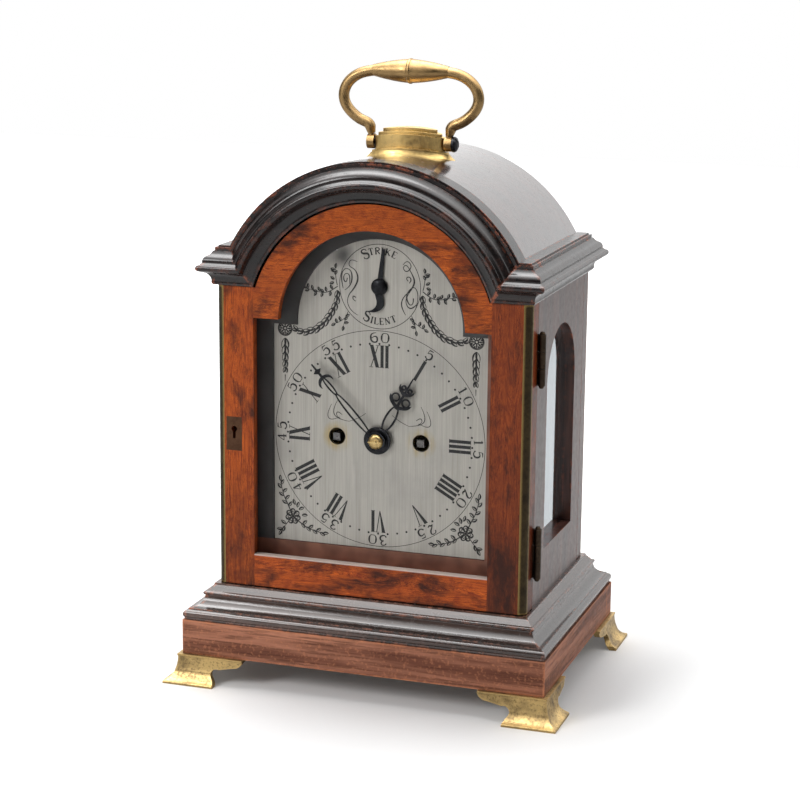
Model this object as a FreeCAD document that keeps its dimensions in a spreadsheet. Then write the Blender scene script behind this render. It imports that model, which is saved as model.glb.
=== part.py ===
"""Bracket clock: a break-arch mahogany case on brass feet, with its doors, dial, hands and verge movement.

Millimetres. X runs to the right as the dial is read, Y to the back and Z up. The origin is on the table,
under the middle of the plinth.
"""
import FreeCAD, Part
import Sketcher
import math
import os
import re
from types import SimpleNamespace
from FreeCAD import Placement, Rotation, Vector

# ---------------------------------------------------------------- driving dimensions

SIZES = (
    # the case
    ("case_width", 200.0, "across the case sides"),
    ("case_depth", 141.5, "from the front door's face to the rear door's face"),
    ("body_height", 190.3, "from the base moulding to the underside of the cornice"),
    ("side_wall", 12.0, "thickness of a case side"),
    ("door_thick", 15.5, "thickness of a door"),
    ("door_gap", 0.4, "between a shut door and the case behind it"),
    ("door_play", 0.5, "above and below a door"),
    ("front_overhang", 17.5, "plinth beyond the case at the front and the sides"),
    ("rear_overhang", 13.0, "plinth beyond the rear door"),
    ("plinth_height", 22.0, "height of the plinth boards"),
    ("plinth_wall", 12.0, "thickness of the plinth boards"),
    ("base_board", 10.0, "thickness of the board that carries the case"),
    ("base_rise", 21.2, "height of the base moulding"),
    ("cornice_rise", 24.0, "height of the cornice, and its width round the arch"),
    ("cornice_reach", 9.7, "nose of the cornice beyond the case"),
    # the feet
    ("foot_height", 18.0, "height of a foot"),
    ("foot_reach", 9.9, "toe of a foot beyond the plinth"),
    ("foot_wing", 41.0, "length of each wing at its top"),
    ("foot_stand", 33.6, "length of each wing on the table"),
    ("foot_pad", 1.8, "thickness of the plate under the plinth"),
    ("foot_pad_width", 14.0, "width of the plate under the plinth"),
    ("foot_screw", 1.5, "radius of a foot screw"),
    ("foot_screw_length", 9.0, "how far a foot screw goes into the plinth"),
    # the arch and the roof
    ("arch_drop", 24.0, "axis of the arch below the cornice"),
    ("roof_inset", 0.87, "foot of the roof inside the outside of the case"),
    ("roof_wall", 12.0, "thickness of the roof shell"),
    ("arch_lip", 1.0, "arch moulding above the roof"),
    ("arch_gap", 1.2, "between a door's arch and the moulding over it"),
    ("arch_relief", 6.0, "slope of a door's arch edge, which lets it swing"),
    # the doors
    ("stile_width", 24.3, "width of a door stile"),
    ("rail_height", 20.4, "height of a door's bottom rail"),
    ("shoulder_drop", 19.4, "shoulder of the sight opening below the cornice"),
    ("sight_arch", 59.5, "radius of the sight opening's arch"),
    ("sight_lift", 2.2, "axis of the sight arch above the axis of the door's arch"),
    ("door_lip", 5.0, "wood in front of the glass"),
    ("rebate", 4.0, "width of the rebate that holds the glass"),
    ("glass", 2.0, "thickness of the panes"),
    ("glass_play", 0.3, "round a pane, in its rebate"),
    ("edge_radius", 4.8, "radius of the brass corner strips"),
    ("hinge_length", 31.0, "length of a hinge"),
    ("hinge_rise", 35.2, "middle of the lower hinges above the base moulding"),
    ("hinge_drop", 35.6, "middle of the upper hinges below the cornice"),
    ("hinge_leaf", 1.0, "thickness of a hinge leaf"),
    ("hinge_leaf_width", 10.0, "width of a hinge leaf"),
    ("knuckle", 2.3, "radius of a hinge knuckle"),
    ("knuckle_gap", 0.3, "between a knuckle and what is beside it"),
    ("hinge_pin", 1.0, "radius of a hinge pin"),
    ("pin_play", 0.05, "round a hinge pin or a pivot"),
    ("lock_centre", 88.7, "keyhole from the middle of the door"),
    ("lock_rise", 97.3, "keyhole above the base moulding"),
    ("lock_width", 13.0, "width of the lock"),
    ("lock_height", 25.0, "height of the lock"),
    ("lock_depth", 6.0, "lock let into the door"),
    ("lock_stand", 9.5, "lock standing behind the door"),
    ("lock_room", 1.0, "room round the lock in the case"),
    ("bolt_height", 8.0, "height of the bolt"),
    ("bolt_thick", 3.0, "thickness of the bolt"),
    ("bolt_fit", 0.05, "round the bolt in the lock"),
    ("plate_width", 10.3, "width of the keyhole plate"),
    ("plate_height", 21.5, "height of the keyhole plate"),
    ("plate_thick", 1.0, "thickness of the keyhole plate"),
    ("keyhole", 1.9, "radius of the keyhole"),
    ("latch_offset", 82.0, "rear latch from the middle of the door"),
    ("latch_reach", 11.5, "length of the latch's tongue"),
    ("latch_shaft", 2.0, "radius of the latch's shaft"),
    ("latch_tongue", 3.0, "thickness of the latch's tongue"),
    # the side windows
    ("window_half", 33.8, "half the width of a side window"),
    ("window_rise", 31.6, "sill of a side window above the base moulding"),
    ("window_drop", 23.3, "top of a side window below the cornice"),
    ("window_back", 2.3, "middle of a side window behind the middle of the case"),
    ("window_lip", 6.0, "wood outside a side glass"),
    # the handle
    ("handle_back", 2.0, "handle behind the middle of the case"),
    ("handle_pivot", 5.6, "handle's pivot above the top of the roof"),
    ("handle_half", 43.8, "middle of the handle's bar from the middle of the clock"),
    ("handle_rise", 44.0, "middle of the grip above the pivot"),
    ("handle_bar", 3.4, "radius of the handle's bar"),
    ("handle_grip", 7.4, "largest radius of the grip"),
    ("eye_radius", 4.5, "radius of the handle's eyes"),
    ("eye_width", 4.6, "thickness of the handle's eyes"),
    ("pivot_screw", 1.8, "radius of the handle's screws"),
    ("screw_head", 4.8, "radius of the head of the handle's bolt"),
    ("base_half", 22.6, "half the width of the handle's base"),
    ("base_depth", 20.0, "handle's base from front to back"),
    # the dial and the hands
    ("dial_setback", 1.45, "dial behind the front of the case"),
    ("dial_margin", 6.9, "edge of the dial inside the sight opening"),
    ("dial_rise", 27.4, "bottom of the dial above the base moulding"),
    ("dial_thick", 2.0, "thickness of the dial plate"),
    ("dial_arch", 53.0, "radius of the dial's arch"),
    ("dial_play", 0.3, "between the dial and its mask"),
    ("centre_rise", 0.8, "hands' axis above the middle of the dial's square"),
    ("mask_thick", 5.0, "thickness of the mask"),
    ("winding_offset", 27.2, "winding squares from the hands' axis"),
    ("winding_hole", 5.2, "radius of a winding hole"),
    ("square_side", 4.6, "side of a winding square"),
    ("selector_rise", 1.8, "strike and silent hand above the cornice's underside"),
    ("minute_length", 61.8, "hands' axis to the tip of the minute hand"),
    ("hour_length", 46.5, "hands' axis to the tip of the hour hand"),
    ("hand_thick", 0.8, "thickness of a hand"),
    ("hour_pipe", 3.6, "radius of the hour pipe"),
    ("cannon_pipe", 2.5, "radius of the cannon pinion's pipe"),
    # the movement
    ("dial_room", 11.15, "dial to the front plate"),
    ("movement_plate", 2.5, "thickness of a movement plate"),
    ("plate_room", 50.5, "between the movement plates"),
    ("movement_half", 58.0, "half the width of a movement plate"),
    ("movement_below", 64.2, "bottom of the plates below the hands' axis"),
    ("movement_above", 65.8, "top of the plates above the hands' axis"),
    ("pillar_radius", 4.6, "largest radius of a pillar"),
    ("pillar_inset", 6.0, "pillars from the sides of the plates"),
    ("arbor", 1.2, "radius of the train's arbors"),
    ("tooth_module", 0.5, "pitch diameter over teeth in the train"),
    ("barrel_radius", 20.0, "radius of a spring barrel"),
    ("barrel_offset", 35.0, "barrels from the hands' axis, across"),
    ("barrel_drop", 39.7, "barrels below the hands' axis"),
    ("fusee_large", 17.0, "large end of a fusee"),
    ("fusee_small", 8.5, "small end of a fusee"),
    ("verge_rise", 52.8, "verge above the hands' axis"),
    ("pendulum_length", 123.0, "verge to the middle of the bob"),
    ("bob_radius", 17.0, "radius of the bob"),
    ("bob_thick", 8.0, "thickness of the bob"),
    ("bell_radius", 27.0, "radius of the bell's mouth"),
    ("bell_height", 25.0, "height of the bell"),
    ("bell_rise", 76.0, "bell's mouth above the hands' axis"),
)

# places that follow from them
PLACES = (
    ("half", "case_width / 2"),
    ("inner_half", "half - side_wall"),
    ("case_shift", "(front_overhang - rear_overhang) / 2"),
    ("door_face", "case_shift - case_depth / 2"),
    ("rear_face", "case_shift + case_depth / 2"),
    ("front_joint", "door_face + door_thick"),
    ("case_front", "front_joint + door_gap"),
    ("rear_joint", "rear_face - door_thick"),
    ("case_rear", "rear_joint - door_gap"),
    ("plinth_half", "half + front_overhang"),
    ("plinth_front", "door_face - front_overhang"),
    ("plinth_rear", "rear_face + rear_overhang"),
    ("plinth_top", "foot_height + plinth_height"),
    ("body_bottom", "plinth_top + base_rise"),
    ("body_top", "body_bottom + body_height"),
    ("door_bottom", "body_bottom + door_play"),
    ("door_top", "body_top - door_play"),
    ("arch_axis", "body_top - arch_drop"),
    ("roof_radius", "sqrt((half - roof_inset)^2 + arch_drop^2)"),
    ("roof_inner", "roof_radius - roof_wall"),
    ("roof_top", "arch_axis + roof_radius"),
    ("moulding_outer", "roof_radius + arch_lip"),
    ("moulding_inner", "moulding_outer - cornice_rise"),
    ("door_arch", "moulding_inner - arch_gap"),
    ("sight_half", "half - stile_width"),
    ("sight_bottom", "door_bottom + rail_height"),
    ("sight_shoulder", "body_top - shoulder_drop"),
    ("sight_axis", "arch_axis + sight_lift"),
    ("pane_half", "sight_half + rebate - glass_play"),
    ("hinge_line", "half + knuckle + knuckle_gap"),
    ("lower_hinge", "body_bottom + hinge_rise"),
    ("upper_hinge", "body_top - hinge_drop"),
    ("lock_height_centre", "body_bottom + lock_rise"),
    ("bolt_front", "front_joint + lock_stand - 0.6 - bolt_thick"),
    ("dial_face", "case_front + dial_setback"),
    ("dial_half", "sight_half - dial_margin"),
    ("dial_bottom", "body_bottom + dial_rise"),
    ("centre", "dial_bottom + dial_half + centre_rise"),
    ("front_plate_front", "dial_face + dial_thick + dial_room"),
    ("front_plate_back", "front_plate_front + movement_plate"),
    ("back_plate_front", "front_plate_back + plate_room"),
    ("back_plate_back", "back_plate_front + movement_plate"),
    ("plates_bottom", "centre - movement_below"),
    ("plates_top", "centre + movement_above"),
    ("pillar_offset", "movement_half - pillar_inset"),
    ("verge", "centre + verge_rise"),
    ("handle_line", "case_shift + handle_back"),
    ("pivot_line", "roof_top + handle_pivot"),
    ("window_middle", "case_shift + window_back"),
    ("window_bottom", "body_bottom + window_rise"),
    ("window_axis", "body_top - window_drop - window_half"),
)

DOC = FreeCAD.newDocument("bracket_clock")
SHEET = DOC.addObject("Spreadsheet::Sheet", "dims")
for row, (name, millimetres, meaning) in enumerate(SIZES, 1):
    SHEET.set(f"A{row}", meaning)
    SHEET.set(f"B{row}", str(millimetres))
    SHEET.setAlias(f"B{row}", name)
for row, (name, formula) in enumerate(PLACES, len(SIZES) + 1):
    SHEET.set(f"A{row}", "place")
    SHEET.set(f"B{row}", "=" + formula)
    SHEET.setAlias(f"B{row}", name)
DOC.recompute()

NAMES = {row[0] for row in SIZES + PLACES}
WORD = re.compile(r"[a-z_]+")
S = SimpleNamespace(**{name: float(SHEET.get(name)) for name in NAMES})
PIECES = []


# ---------------------------------------------------------------- making objects

def bind(item, prop, formula):
    """Tie one property to a formula in the sheet's names."""
    named = WORD.sub(lambda word: "dims." + word.group() if word.group() in NAMES else word.group(), str(formula))
    item.setExpression(prop, named)


def block(x_low, x_high, y_low, y_high, z_low, z_high):
    """A box between pairs of places."""
    box = DOC.addObject("Part::Box", "block")
    bind(box, "Length", f"({x_high}) - ({x_low})")
    bind(box, "Width", f"({y_high}) - ({y_low})")
    bind(box, "Height", f"({z_high}) - ({z_low})")
    bind(box, "Placement.Base.x", x_low)
    bind(box, "Placement.Base.y", y_low)
    bind(box, "Placement.Base.z", z_low)
    return box


TURNS = {"x": Rotation(Vector(0, 1, 0), 90), "y": Rotation(Vector(1, 0, 0), -90), "z": Rotation()}


def rod(axis, radius, low, high, first, second):
    """A cylinder along one axis from low to high; first and second are its other two places."""
    item = DOC.addObject("Part::Cylinder", "rod")
    item.Placement = Placement(Vector(), TURNS[axis])
    place = {"x": (low, first, second), "y": (first, low, second), "z": (first, second, low)}[axis]
    bind(item, "Radius", radius)
    bind(item, "Height", f"({high}) - ({low})")
    for letter, value in zip("xyz", place):
        bind(item, f"Placement.Base.{letter}", value)
    return item


def cone_y(low_radius, high_radius, low, high, x, z):
    """A cone along Y."""
    item = DOC.addObject("Part::Cone", "cone")
    item.Placement = Placement(Vector(), TURNS["y"])
    bind(item, "Radius1", low_radius)
    bind(item, "Radius2", high_radius)
    bind(item, "Height", f"({high}) - ({low})")
    for letter, value in zip("xyz", (x, low, z)):
        bind(item, f"Placement.Base.{letter}", value)
    return item


def fuse(*items):
    item = DOC.addObject("Part::MultiFuse", "union")
    item.Shapes = list(items)
    return item


def cut(base, *tools):
    item = DOC.addObject("Part::Cut", "cut")
    item.Base = base
    item.Tool = tools[0] if len(tools) == 1 else fuse(*tools)
    return item


def common(first, second):
    item = DOC.addObject("Part::Common", "overlap")
    item.Base = first
    item.Tool = second
    return item


def feature(shape):
    """An object that holds a shape made with Part's own functions."""
    item = DOC.addObject("Part::Feature", "shaped")
    item.Shape = shape
    return item


def piece(label, item):
    """One sub-part, which is written under its label."""
    item.Label = label
    PIECES.append(item)
    return item


def group(label, items):
    """Several separate solids under one label."""
    DOC.recompute()
    return piece(label, feature(Part.makeCompound([item.Shape for item in items])))


def box_shape(x_low, x_high, y_low, y_high, z_low, z_high):
    return Part.makeBox(x_high - x_low, y_high - y_low, z_high - z_low, Vector(x_low, y_low, z_low))


def rod_shape(radius, start, end):
    return Part.makeCylinder(radius, (end - start).Length, start, end - start)


def closed_wire(points, place):
    """A closed outline; a pair of pairs is the middle and the end of an arc."""
    here = place(*points[0])
    edges = []
    for item in list(points[1:]) + [points[0]]:
        arc = isinstance(item[0], tuple)
        end = place(*item[1]) if arc else place(*item)
        if arc:
            edges.append(Part.Arc(here, place(*item[0]), end).toShape())
        elif end.distanceToPoint(here) > 1e-6:
            edges.append(Part.makeLine(here, end))
        here = end
    return Part.Wire(edges)


def prism(points, place, along):
    return Part.Face(closed_wire(points, place)).extrude(along)


def turned(points, axis_point, direction):
    """A solid of revolution; its outline is radius and distance along the axis."""
    side = Vector(1, 0, 0) if abs(direction.x) < 0.5 else Vector(0, 0, 1)
    outline = closed_wire(points, lambda radius, far: axis_point + side * radius + direction * far)
    return Part.Face(outline).revolve(axis_point, direction, 360)


def scaled(profile, reach, rise):
    """A profile given in shares of its reach and its rise, in millimetres."""
    result = []
    for item in profile:
        if isinstance(item[0], tuple):
            result.append(tuple((u * reach, v * rise) for u, v in item))
        else:
            result.append((item[0] * reach, item[1] * rise))
    return result


def mirrored_x(shape):
    return shape.mirror(Vector(), Vector(1, 0, 0))


# ---------------------------------------------------------------- plinth and feet

# Four boards round a base board, which is flush with their top.
piece("base_board", block("plinth_wall - plinth_half", "plinth_half - plinth_wall",
                          "plinth_front + plinth_wall", "plinth_rear - plinth_wall",
                          "plinth_top - base_board", "plinth_top"))

screws = []
for right in (-1, 1):
    for back in (-1, 1):
        corner_x = right * S.plinth_half
        corner_y = S.plinth_rear if back > 0 else S.plinth_front
        for along_x, along_y in ((6.0, 30.0), (30.0, 6.0)):
            x = corner_x - right * along_x
            y = corner_y - back * along_y
            under = S.foot_height - S.foot_pad
            outline = ((0, -1.6), (2.9, -1.6), (2.9, 0), (S.foot_screw, 0),
                       (S.foot_screw, S.foot_pad + S.foot_screw_length), (0, S.foot_pad + S.foot_screw_length))
            screws.append(turned(outline, Vector(x, y, under), Vector(0, 0, 1)))
screw_group = Part.makeCompound(screws)
piece("foot_screws", feature(screw_group))

boards = [
    box_shape(-S.plinth_half, S.plinth_half, S.plinth_front, S.plinth_front + S.plinth_wall,
              S.foot_height, S.plinth_top),
    box_shape(-S.plinth_half, S.plinth_half, S.plinth_rear - S.plinth_wall, S.plinth_rear,
              S.foot_height, S.plinth_top),
    box_shape(-S.plinth_half, S.plinth_wall - S.plinth_half, S.plinth_front + S.plinth_wall,
              S.plinth_rear - S.plinth_wall, S.foot_height, S.plinth_top),
    box_shape(S.plinth_half - S.plinth_wall, S.plinth_half, S.plinth_front + S.plinth_wall,
              S.plinth_rear - S.plinth_wall, S.foot_height, S.plinth_top),
]
piece("plinth_boards", feature(Part.makeCompound([board.cut(screw_group) for board in boards])))

# A cast foot: an ogee wing along each side of the corner, mitred, and a screwed plate under the plinth.
FOOT = ((-0.15, 1.0), (0.27, 1.0), (0.27, 0.94), (0.23, 0.92), ((0.27, 0.68), (0.38, 0.45)),
        ((0.55, 0.25), (0.97, 0.1)), (1.0, 0.07), (1.0, 0.0), (0.55, 0.0), ((0.2, 0.24), (-0.02, 0.55)), (-0.15, 0.7))


def foot(right, back):
    corner_x = S.plinth_half
    corner_y = S.plinth_rear
    reach = S.foot_reach
    outline = scaled(FOOT, reach, S.foot_height)
    wing_y = prism(outline, lambda u, v: Vector(corner_x + u, corner_y + reach, v),
                   Vector(0, -S.foot_wing - reach, 0))
    wing_x = prism(outline, lambda u, v: Vector(corner_x + reach, corner_y + u, v),
                   Vector(-S.foot_wing - reach, 0, 0))
    far = 2 * S.foot_wing
    mitre = ((-far, -far), (far, -far), (far, far))
    half_plan = prism(mitre, lambda u, v: Vector(corner_x + u, corner_y + v, -1), Vector(0, 0, S.foot_height + 2))
    wing_y = wing_y.common(half_plan)
    wing_x = wing_x.cut(half_plan)
    # each wing ends in a scroll that runs in to a neck above its sole
    length = S.foot_wing + reach - S.foot_stand
    under = S.foot_height - S.foot_pad
    high = S.foot_height
    scroll = ((-1, -1), (-1, 0.9 * high), (0, 0.9 * high), ((1.6, 0.78 * high), (0.34 * length, 0.69 * high)),
              (0.9 * length, 0.585 * high), ((1.14 * length, 0.53 * high), (1.2 * length, 0.4 * high)),
              (1.17 * length, 0.32 * high), (1.03 * length, 0.14 * high), (length, 0.07 * high), (length, -1))
    depth = 2 * reach + 4
    end_x = prism(scroll, lambda u, v: Vector(corner_x - S.foot_wing + u, corner_y - 4, v), Vector(0, depth, 0))
    end_y = prism(scroll, lambda u, v: Vector(corner_x - 4, corner_y - S.foot_wing + u, v), Vector(depth, 0, 0))
    plate = box_shape(corner_x - S.foot_wing, corner_x, corner_y - S.foot_pad_width, corner_y,
                      under, S.foot_height)
    plate = plate.fuse(box_shape(corner_x - S.foot_pad_width, corner_x, corner_y - S.foot_wing, corner_y,
                                 under, S.foot_height))
    shape = wing_y.cut(end_y).fuse([wing_x.cut(end_x), plate]).removeSplitter()
    if back < 0:
        shape = shape.mirror(Vector(0, (S.plinth_front + S.plinth_rear) / 2, 0), Vector(0, 1, 0))
    if right < 0:
        shape = mirrored_x(shape)
    return shape.cut(screw_group)


for right, side_name in ((-1, "left"), (1, "right")):
    for back, end_name in ((-1, "front"), (1, "rear")):
        piece(f"foot_{end_name}_{side_name}", feature(foot(right, back)))

# ---------------------------------------------------------------- base moulding and cornice

# Profiles, outwards and upwards, in shares of reach and rise.
BASE = ((0.94, 0.0), (0.94, 0.07), ((0.99, 0.17), (0.9, 0.28)), (0.83, 0.3), (0.83, 0.33),
        ((0.47, 0.47), (0.37, 0.68)), ((0.43, 0.74), (0.36, 0.79)), (0.32, 0.8), (0.13, 0.95), (0.11, 1.0))
CORNICE = ((0.16, 0.0), (0.23, 0.05), ((0.27, 0.19), (0.5, 0.3)), (0.83, 0.35), ((1.0, 0.44), (0.82, 0.52)),
           (0.66, 0.57), ((0.61, 0.68), (0.43, 0.745)), ((0.26, 0.79), (0.14, 0.86)), (0.04, 0.87),
           (0.04, 0.95), (-0.13, 0.96), (-0.13, 1.0))

LONG = S.case_width + S.case_depth


def wedge(corner_x, corner_y, out_x, out_y):
    """The plan beyond a corner's mitre line, on the side that out_y points to."""
    points = ((0, 0), (LONG * out_x, LONG * out_y), (0, LONG * out_y))
    return prism(points, lambda u, v: Vector(corner_x + u, corner_y + v, -1), Vector(0, 0, S.roof_top + 10))


def mitred_frame(profile, front, side, rear, bottom, rise):
    """Moulding along the right side and round to the front and the back, met in mitres."""
    behind = S.door_thick + S.door_gap
    corner = Vector(S.half, 0, bottom)
    front_mitre = wedge(S.half, S.door_face, side, -front)
    rear_mitre = wedge(S.half, S.rear_face, side, rear)
    stepped = profile[-1][0] < 0
    outer = profile[:-2] + ((0.0, profile[-2][1]),) if stepped else profile + ((0.0, 1.0),)
    strip = [(0, 0)] + scaled(outer, side, rise)
    raw = prism(strip, lambda u, v: Vector(corner.x + u, S.door_face - front - 1, bottom + v),
                Vector(0, S.case_depth + front + rear + 2, 0))
    side_bar = raw.cut(front_mitre).cut(rear_mitre)
    bars = [side_bar]
    for face, reach, way, mitre in ((S.door_face, front, -1, front_mitre), (S.rear_face, rear, 1, rear_mitre)):
        strip = [(-behind, 0)] + scaled(profile, reach, rise) + [(-behind, rise)]
        bar = prism(strip, lambda u, v: Vector(-S.half - side - 1, face + way * u, bottom + v),
                    Vector(S.case_width + 2 * side + 2, 0, 0))
        low, high = sorted((face - way * behind, face + way * (reach + 1)))
        inside = box_shape(-S.half, S.half, low, high, bottom - 1, bottom + rise + 1)
        bars.append(bar.common(inside.fuse([mitre, mirrored_x(mitre)])))
    return bars


base_side, base_front, base_rear = mitred_frame(BASE, S.front_overhang, S.front_overhang, S.rear_overhang,
                                                S.plinth_top, S.base_rise)
piece("base_mouldings", feature(Part.makeCompound([base_front, base_rear, base_side, mirrored_x(base_side)])))


def mitre_x(share):
    """Where the arch moulding meets the shoulder, at a share of the moulding's width."""
    out = share * S.cornice_rise
    return math.sqrt((S.moulding_inner + out) ** 2 - (S.arch_drop + out) ** 2)


def arch_region():
    """Everything on the arch's side of the mitres between the arch and the shoulders."""
    top = S.body_top + S.cornice_rise
    wide = S.plinth_half
    high = S.roof_top + 10
    middle = S.body_top + S.cornice_rise / 2
    outline = ((-mitre_x(0), S.body_top), ((-mitre_x(0.5), middle), (-mitre_x(1), top)), (-wide, top),
               (-wide, high), (wide, high), (wide, top), (mitre_x(1), top),
               ((mitre_x(0.5), middle), (mitre_x(0), S.body_top)))
    return prism(outline, lambda x, z: Vector(x, -LONG, z), Vector(0, 2 * LONG, 0))


ARCH = arch_region()


def cornice():
    """Two side lengths that fit the roof, two front shoulders and two rear returns."""
    side_bar, front_bar, rear_bar = mitred_frame(CORNICE, S.cornice_reach, S.cornice_reach, S.cornice_reach,
                                                 S.body_top, S.cornice_rise)
    step = -CORNICE[-1][0] * S.cornice_reach
    step_z = S.body_top + CORNICE[-2][1] * S.cornice_rise
    top = S.body_top + S.cornice_rise
    filling = box_shape(S.half / 2, S.half, S.case_front, S.case_rear, S.body_top, top)
    top_corner = box_shape(S.half - step, S.plinth_half, -LONG, LONG, step_z, top + 1)
    roof = rod_shape(S.roof_radius, Vector(0, S.case_front - 1, S.arch_axis), Vector(0, S.case_rear + 1, S.arch_axis))
    side_bar = side_bar.fuse(filling.cut(roof)).cut(top_corner).removeSplitter()
    front_bar, rear_bar = (bar.cut(top_corner).cut(mirrored_x(top_corner)) for bar in (front_bar, rear_bar))
    shoulders = []
    for bar in (front_bar, rear_bar):
        cut_bar = bar.cut(ARCH)
        shoulders += [half_bar for half_bar in cut_bar.Solids]
    return [side_bar, mirrored_x(side_bar)] + shoulders


cornice_parts = cornice()
piece("cornice_mouldings", feature(Part.makeCompound(cornice_parts)))

# The arch moulding is turned, and sawn on the mitres.
arch_back = -(S.door_thick + S.door_gap)
arch_outline = [(arch_back, 0)] + scaled(CORNICE, S.cornice_reach, S.cornice_rise) + [(arch_back, S.cornice_rise)]
arch_face = Part.Face(closed_wire(arch_outline, lambda u, v: Vector(S.moulding_inner + v, S.door_face - u, S.arch_axis)))
arch_ring = arch_face.revolve(Vector(0, 0, S.arch_axis), Vector(0, 1, 0), 360)
piece("arch_moulding", feature(arch_ring.common(ARCH)))

rear_ring = rod_shape(S.roof_radius, Vector(0, S.case_rear, S.arch_axis), Vector(0, S.rear_face, S.arch_axis))
rear_ring = rear_ring.cut(rod_shape(S.moulding_inner, Vector(0, S.case_rear - 1, S.arch_axis),
                                    Vector(0, S.rear_face + 1, S.arch_axis)))
piece("rear_arch_board", feature(rear_ring.common(ARCH)))

# ---------------------------------------------------------------- case sides, glasses and roof

LOWER_UPPER = ("lower_hinge", "upper_hinge")


def hinge_recess(x_low, x_high, y_low, y_high, middle):
    return block(x_low, x_high, y_low, y_high, f"{middle} - hinge_length / 2", f"{middle} + hinge_length / 2")


def case_side(label, sign):
    """A side board: arched window, rebate for its glass, hinge recesses and the lock's or the latch's room."""
    low, high = ("inner_half", "half") if sign > 0 else ("-half", "-inner_half")
    board = block(low, high, "case_front", "case_rear", "plinth_top", "body_top")
    window = [block(low, high, "window_middle - window_half", "window_middle + window_half",
                    "window_bottom", "window_axis"),
              rod("x", "window_half", low, high, "window_middle", "window_axis")]
    rebate_low, rebate_high = (low, "half - window_lip") if sign > 0 else ("window_lip - half", high)
    wider = "window_half + rebate"
    window += [block(rebate_low, rebate_high, f"window_middle - ({wider})", f"window_middle + ({wider})",
                     "window_bottom - rebate", "window_axis"),
               rod("x", wider, rebate_low, rebate_high, "window_middle", "window_axis")]
    leaf_low, leaf_high = ("half - hinge_leaf_width", "half") if sign > 0 else ("-half", "hinge_leaf_width - half")
    if sign > 0:
        cuts = [hinge_recess(leaf_low, leaf_high, "case_front", "case_front + hinge_leaf", middle)
                for middle in LOWER_UPPER]
        cuts.append(block("inner_half", "latch_offset + latch_reach + 1", "case_rear - 7.5", "case_rear - 2",
                          "lock_height_centre - 5", "lock_height_centre + latch_reach"))
    else:
        cuts = [hinge_recess(leaf_low, leaf_high, "case_rear - hinge_leaf", "case_rear", middle)
                for middle in LOWER_UPPER]
        cuts.append(block("-lock_centre - lock_width / 2 - lock_room", "-inner_half", "case_front",
                          "front_joint + lock_stand + lock_room",
                          "lock_height_centre - lock_height / 2 - lock_room",
                          "lock_height_centre + lock_height / 2 + lock_room"))
    return piece(label, cut(board, *window, *cuts))


case_side("case_side_left", -1)
case_side("case_side_right", 1)


def side_glass(sign):
    inner, outer = "half - window_lip - glass", "half - window_lip"
    low, high = (inner, outer) if sign > 0 else (f"-({outer})", f"-({inner})")
    wide = "window_half + rebate - glass_play"
    pane = block(low, high, f"window_middle - ({wide})", f"window_middle + ({wide})",
                 "window_bottom - rebate + glass_play", "window_axis")
    return fuse(pane, rod("x", wide, low, high, "window_middle", "window_axis"))


group("side_glasses", [side_glass(-1), side_glass(1)])

# The roof shell stands on the case sides, between the cornice's side lengths.
shell = cut(rod("y", "roof_radius", "case_front", "case_rear", "0", "arch_axis"),
            rod("y", "roof_inner", "case_front", "case_rear", "0", "arch_axis"))
piece("roof_shell", common(shell, block("-case_width", "case_width", "case_front", "case_rear",
                                        "body_top", "roof_top + 1")))

# The mask stands on the base board and frames the dial; a notch leaves room for the lock.
mask = fuse(block("-inner_half", "inner_half", "case_front + 0.35", "case_front + 0.35 + mask_thick",
                  "plinth_top", "body_top"),
            common(rod("y", "roof_inner", "case_front + 0.35", "case_front + 0.35 + mask_thick", "0", "arch_axis"),
                   block("-roof_inner", "roof_inner", "case_front", "case_front + 10", "body_top", "roof_top")))
piece("dial_mask", cut(mask,
                       block("-dial_half - dial_play", "dial_half + dial_play", "case_front", "case_front + 10",
                             "dial_bottom - dial_play", "sight_shoulder - 5.9 + dial_play"),
                       rod("y", "dial_arch + dial_play", "case_front", "case_front + 10", "0", "arch_axis + 1.5"),
                       block("-inner_half", "lock_width / 2 + lock_room - lock_centre", "case_front",
                             "case_front + 10", "lock_height_centre - lock_height / 2 - lock_room",
                             "lock_height_centre + lock_height / 2 + lock_room")))

# ---------------------------------------------------------------- doors


def door_places(front):
    """Face and inward direction of a door, as formulas: depth in from the face to a place."""
    if front:
        return lambda near, far: (f"door_face + {near}", f"door_face + {far}")
    return lambda near, far: (f"rear_face - {far}", f"rear_face - {near}")


def sight_cut(span):
    """The sight opening through the wood, and the wider rebate behind its lip."""
    through = span("0", "door_thick")
    behind = span("door_lip", "door_thick")
    return [
        block("-sight_half", "sight_half", *through, "sight_bottom", "sight_shoulder"),
        rod("y", "sight_arch", *through, "0", "sight_axis"),
        block("-sight_half - rebate", "sight_half + rebate", *behind, "sight_bottom - rebate",
              "sight_shoulder + rebate"),
        rod("y", "sight_arch + rebate", *behind, "0", "sight_axis"),
    ]


def stile(front, sign, *extra):
    span = door_places(front)
    low, high = ("sight_half", "half") if sign > 0 else ("-half", "-sight_half")
    wood = block(low, high, *span("0", "door_thick"), "door_bottom", "door_top")
    edge_low, edge_high = ("half - edge_radius", "half") if sign > 0 else ("-half", "edge_radius - half")
    edge = block(edge_low, edge_high, *span("0", "edge_radius"), "door_bottom", "door_top")
    return cut(wood, edge, *sight_cut(span), *extra)


def bottom_rail(front):
    span = door_places(front)
    return cut(block("-sight_half", "sight_half", *span("0", "door_thick"), "door_bottom", "sight_bottom"),
               *sight_cut(span))


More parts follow.
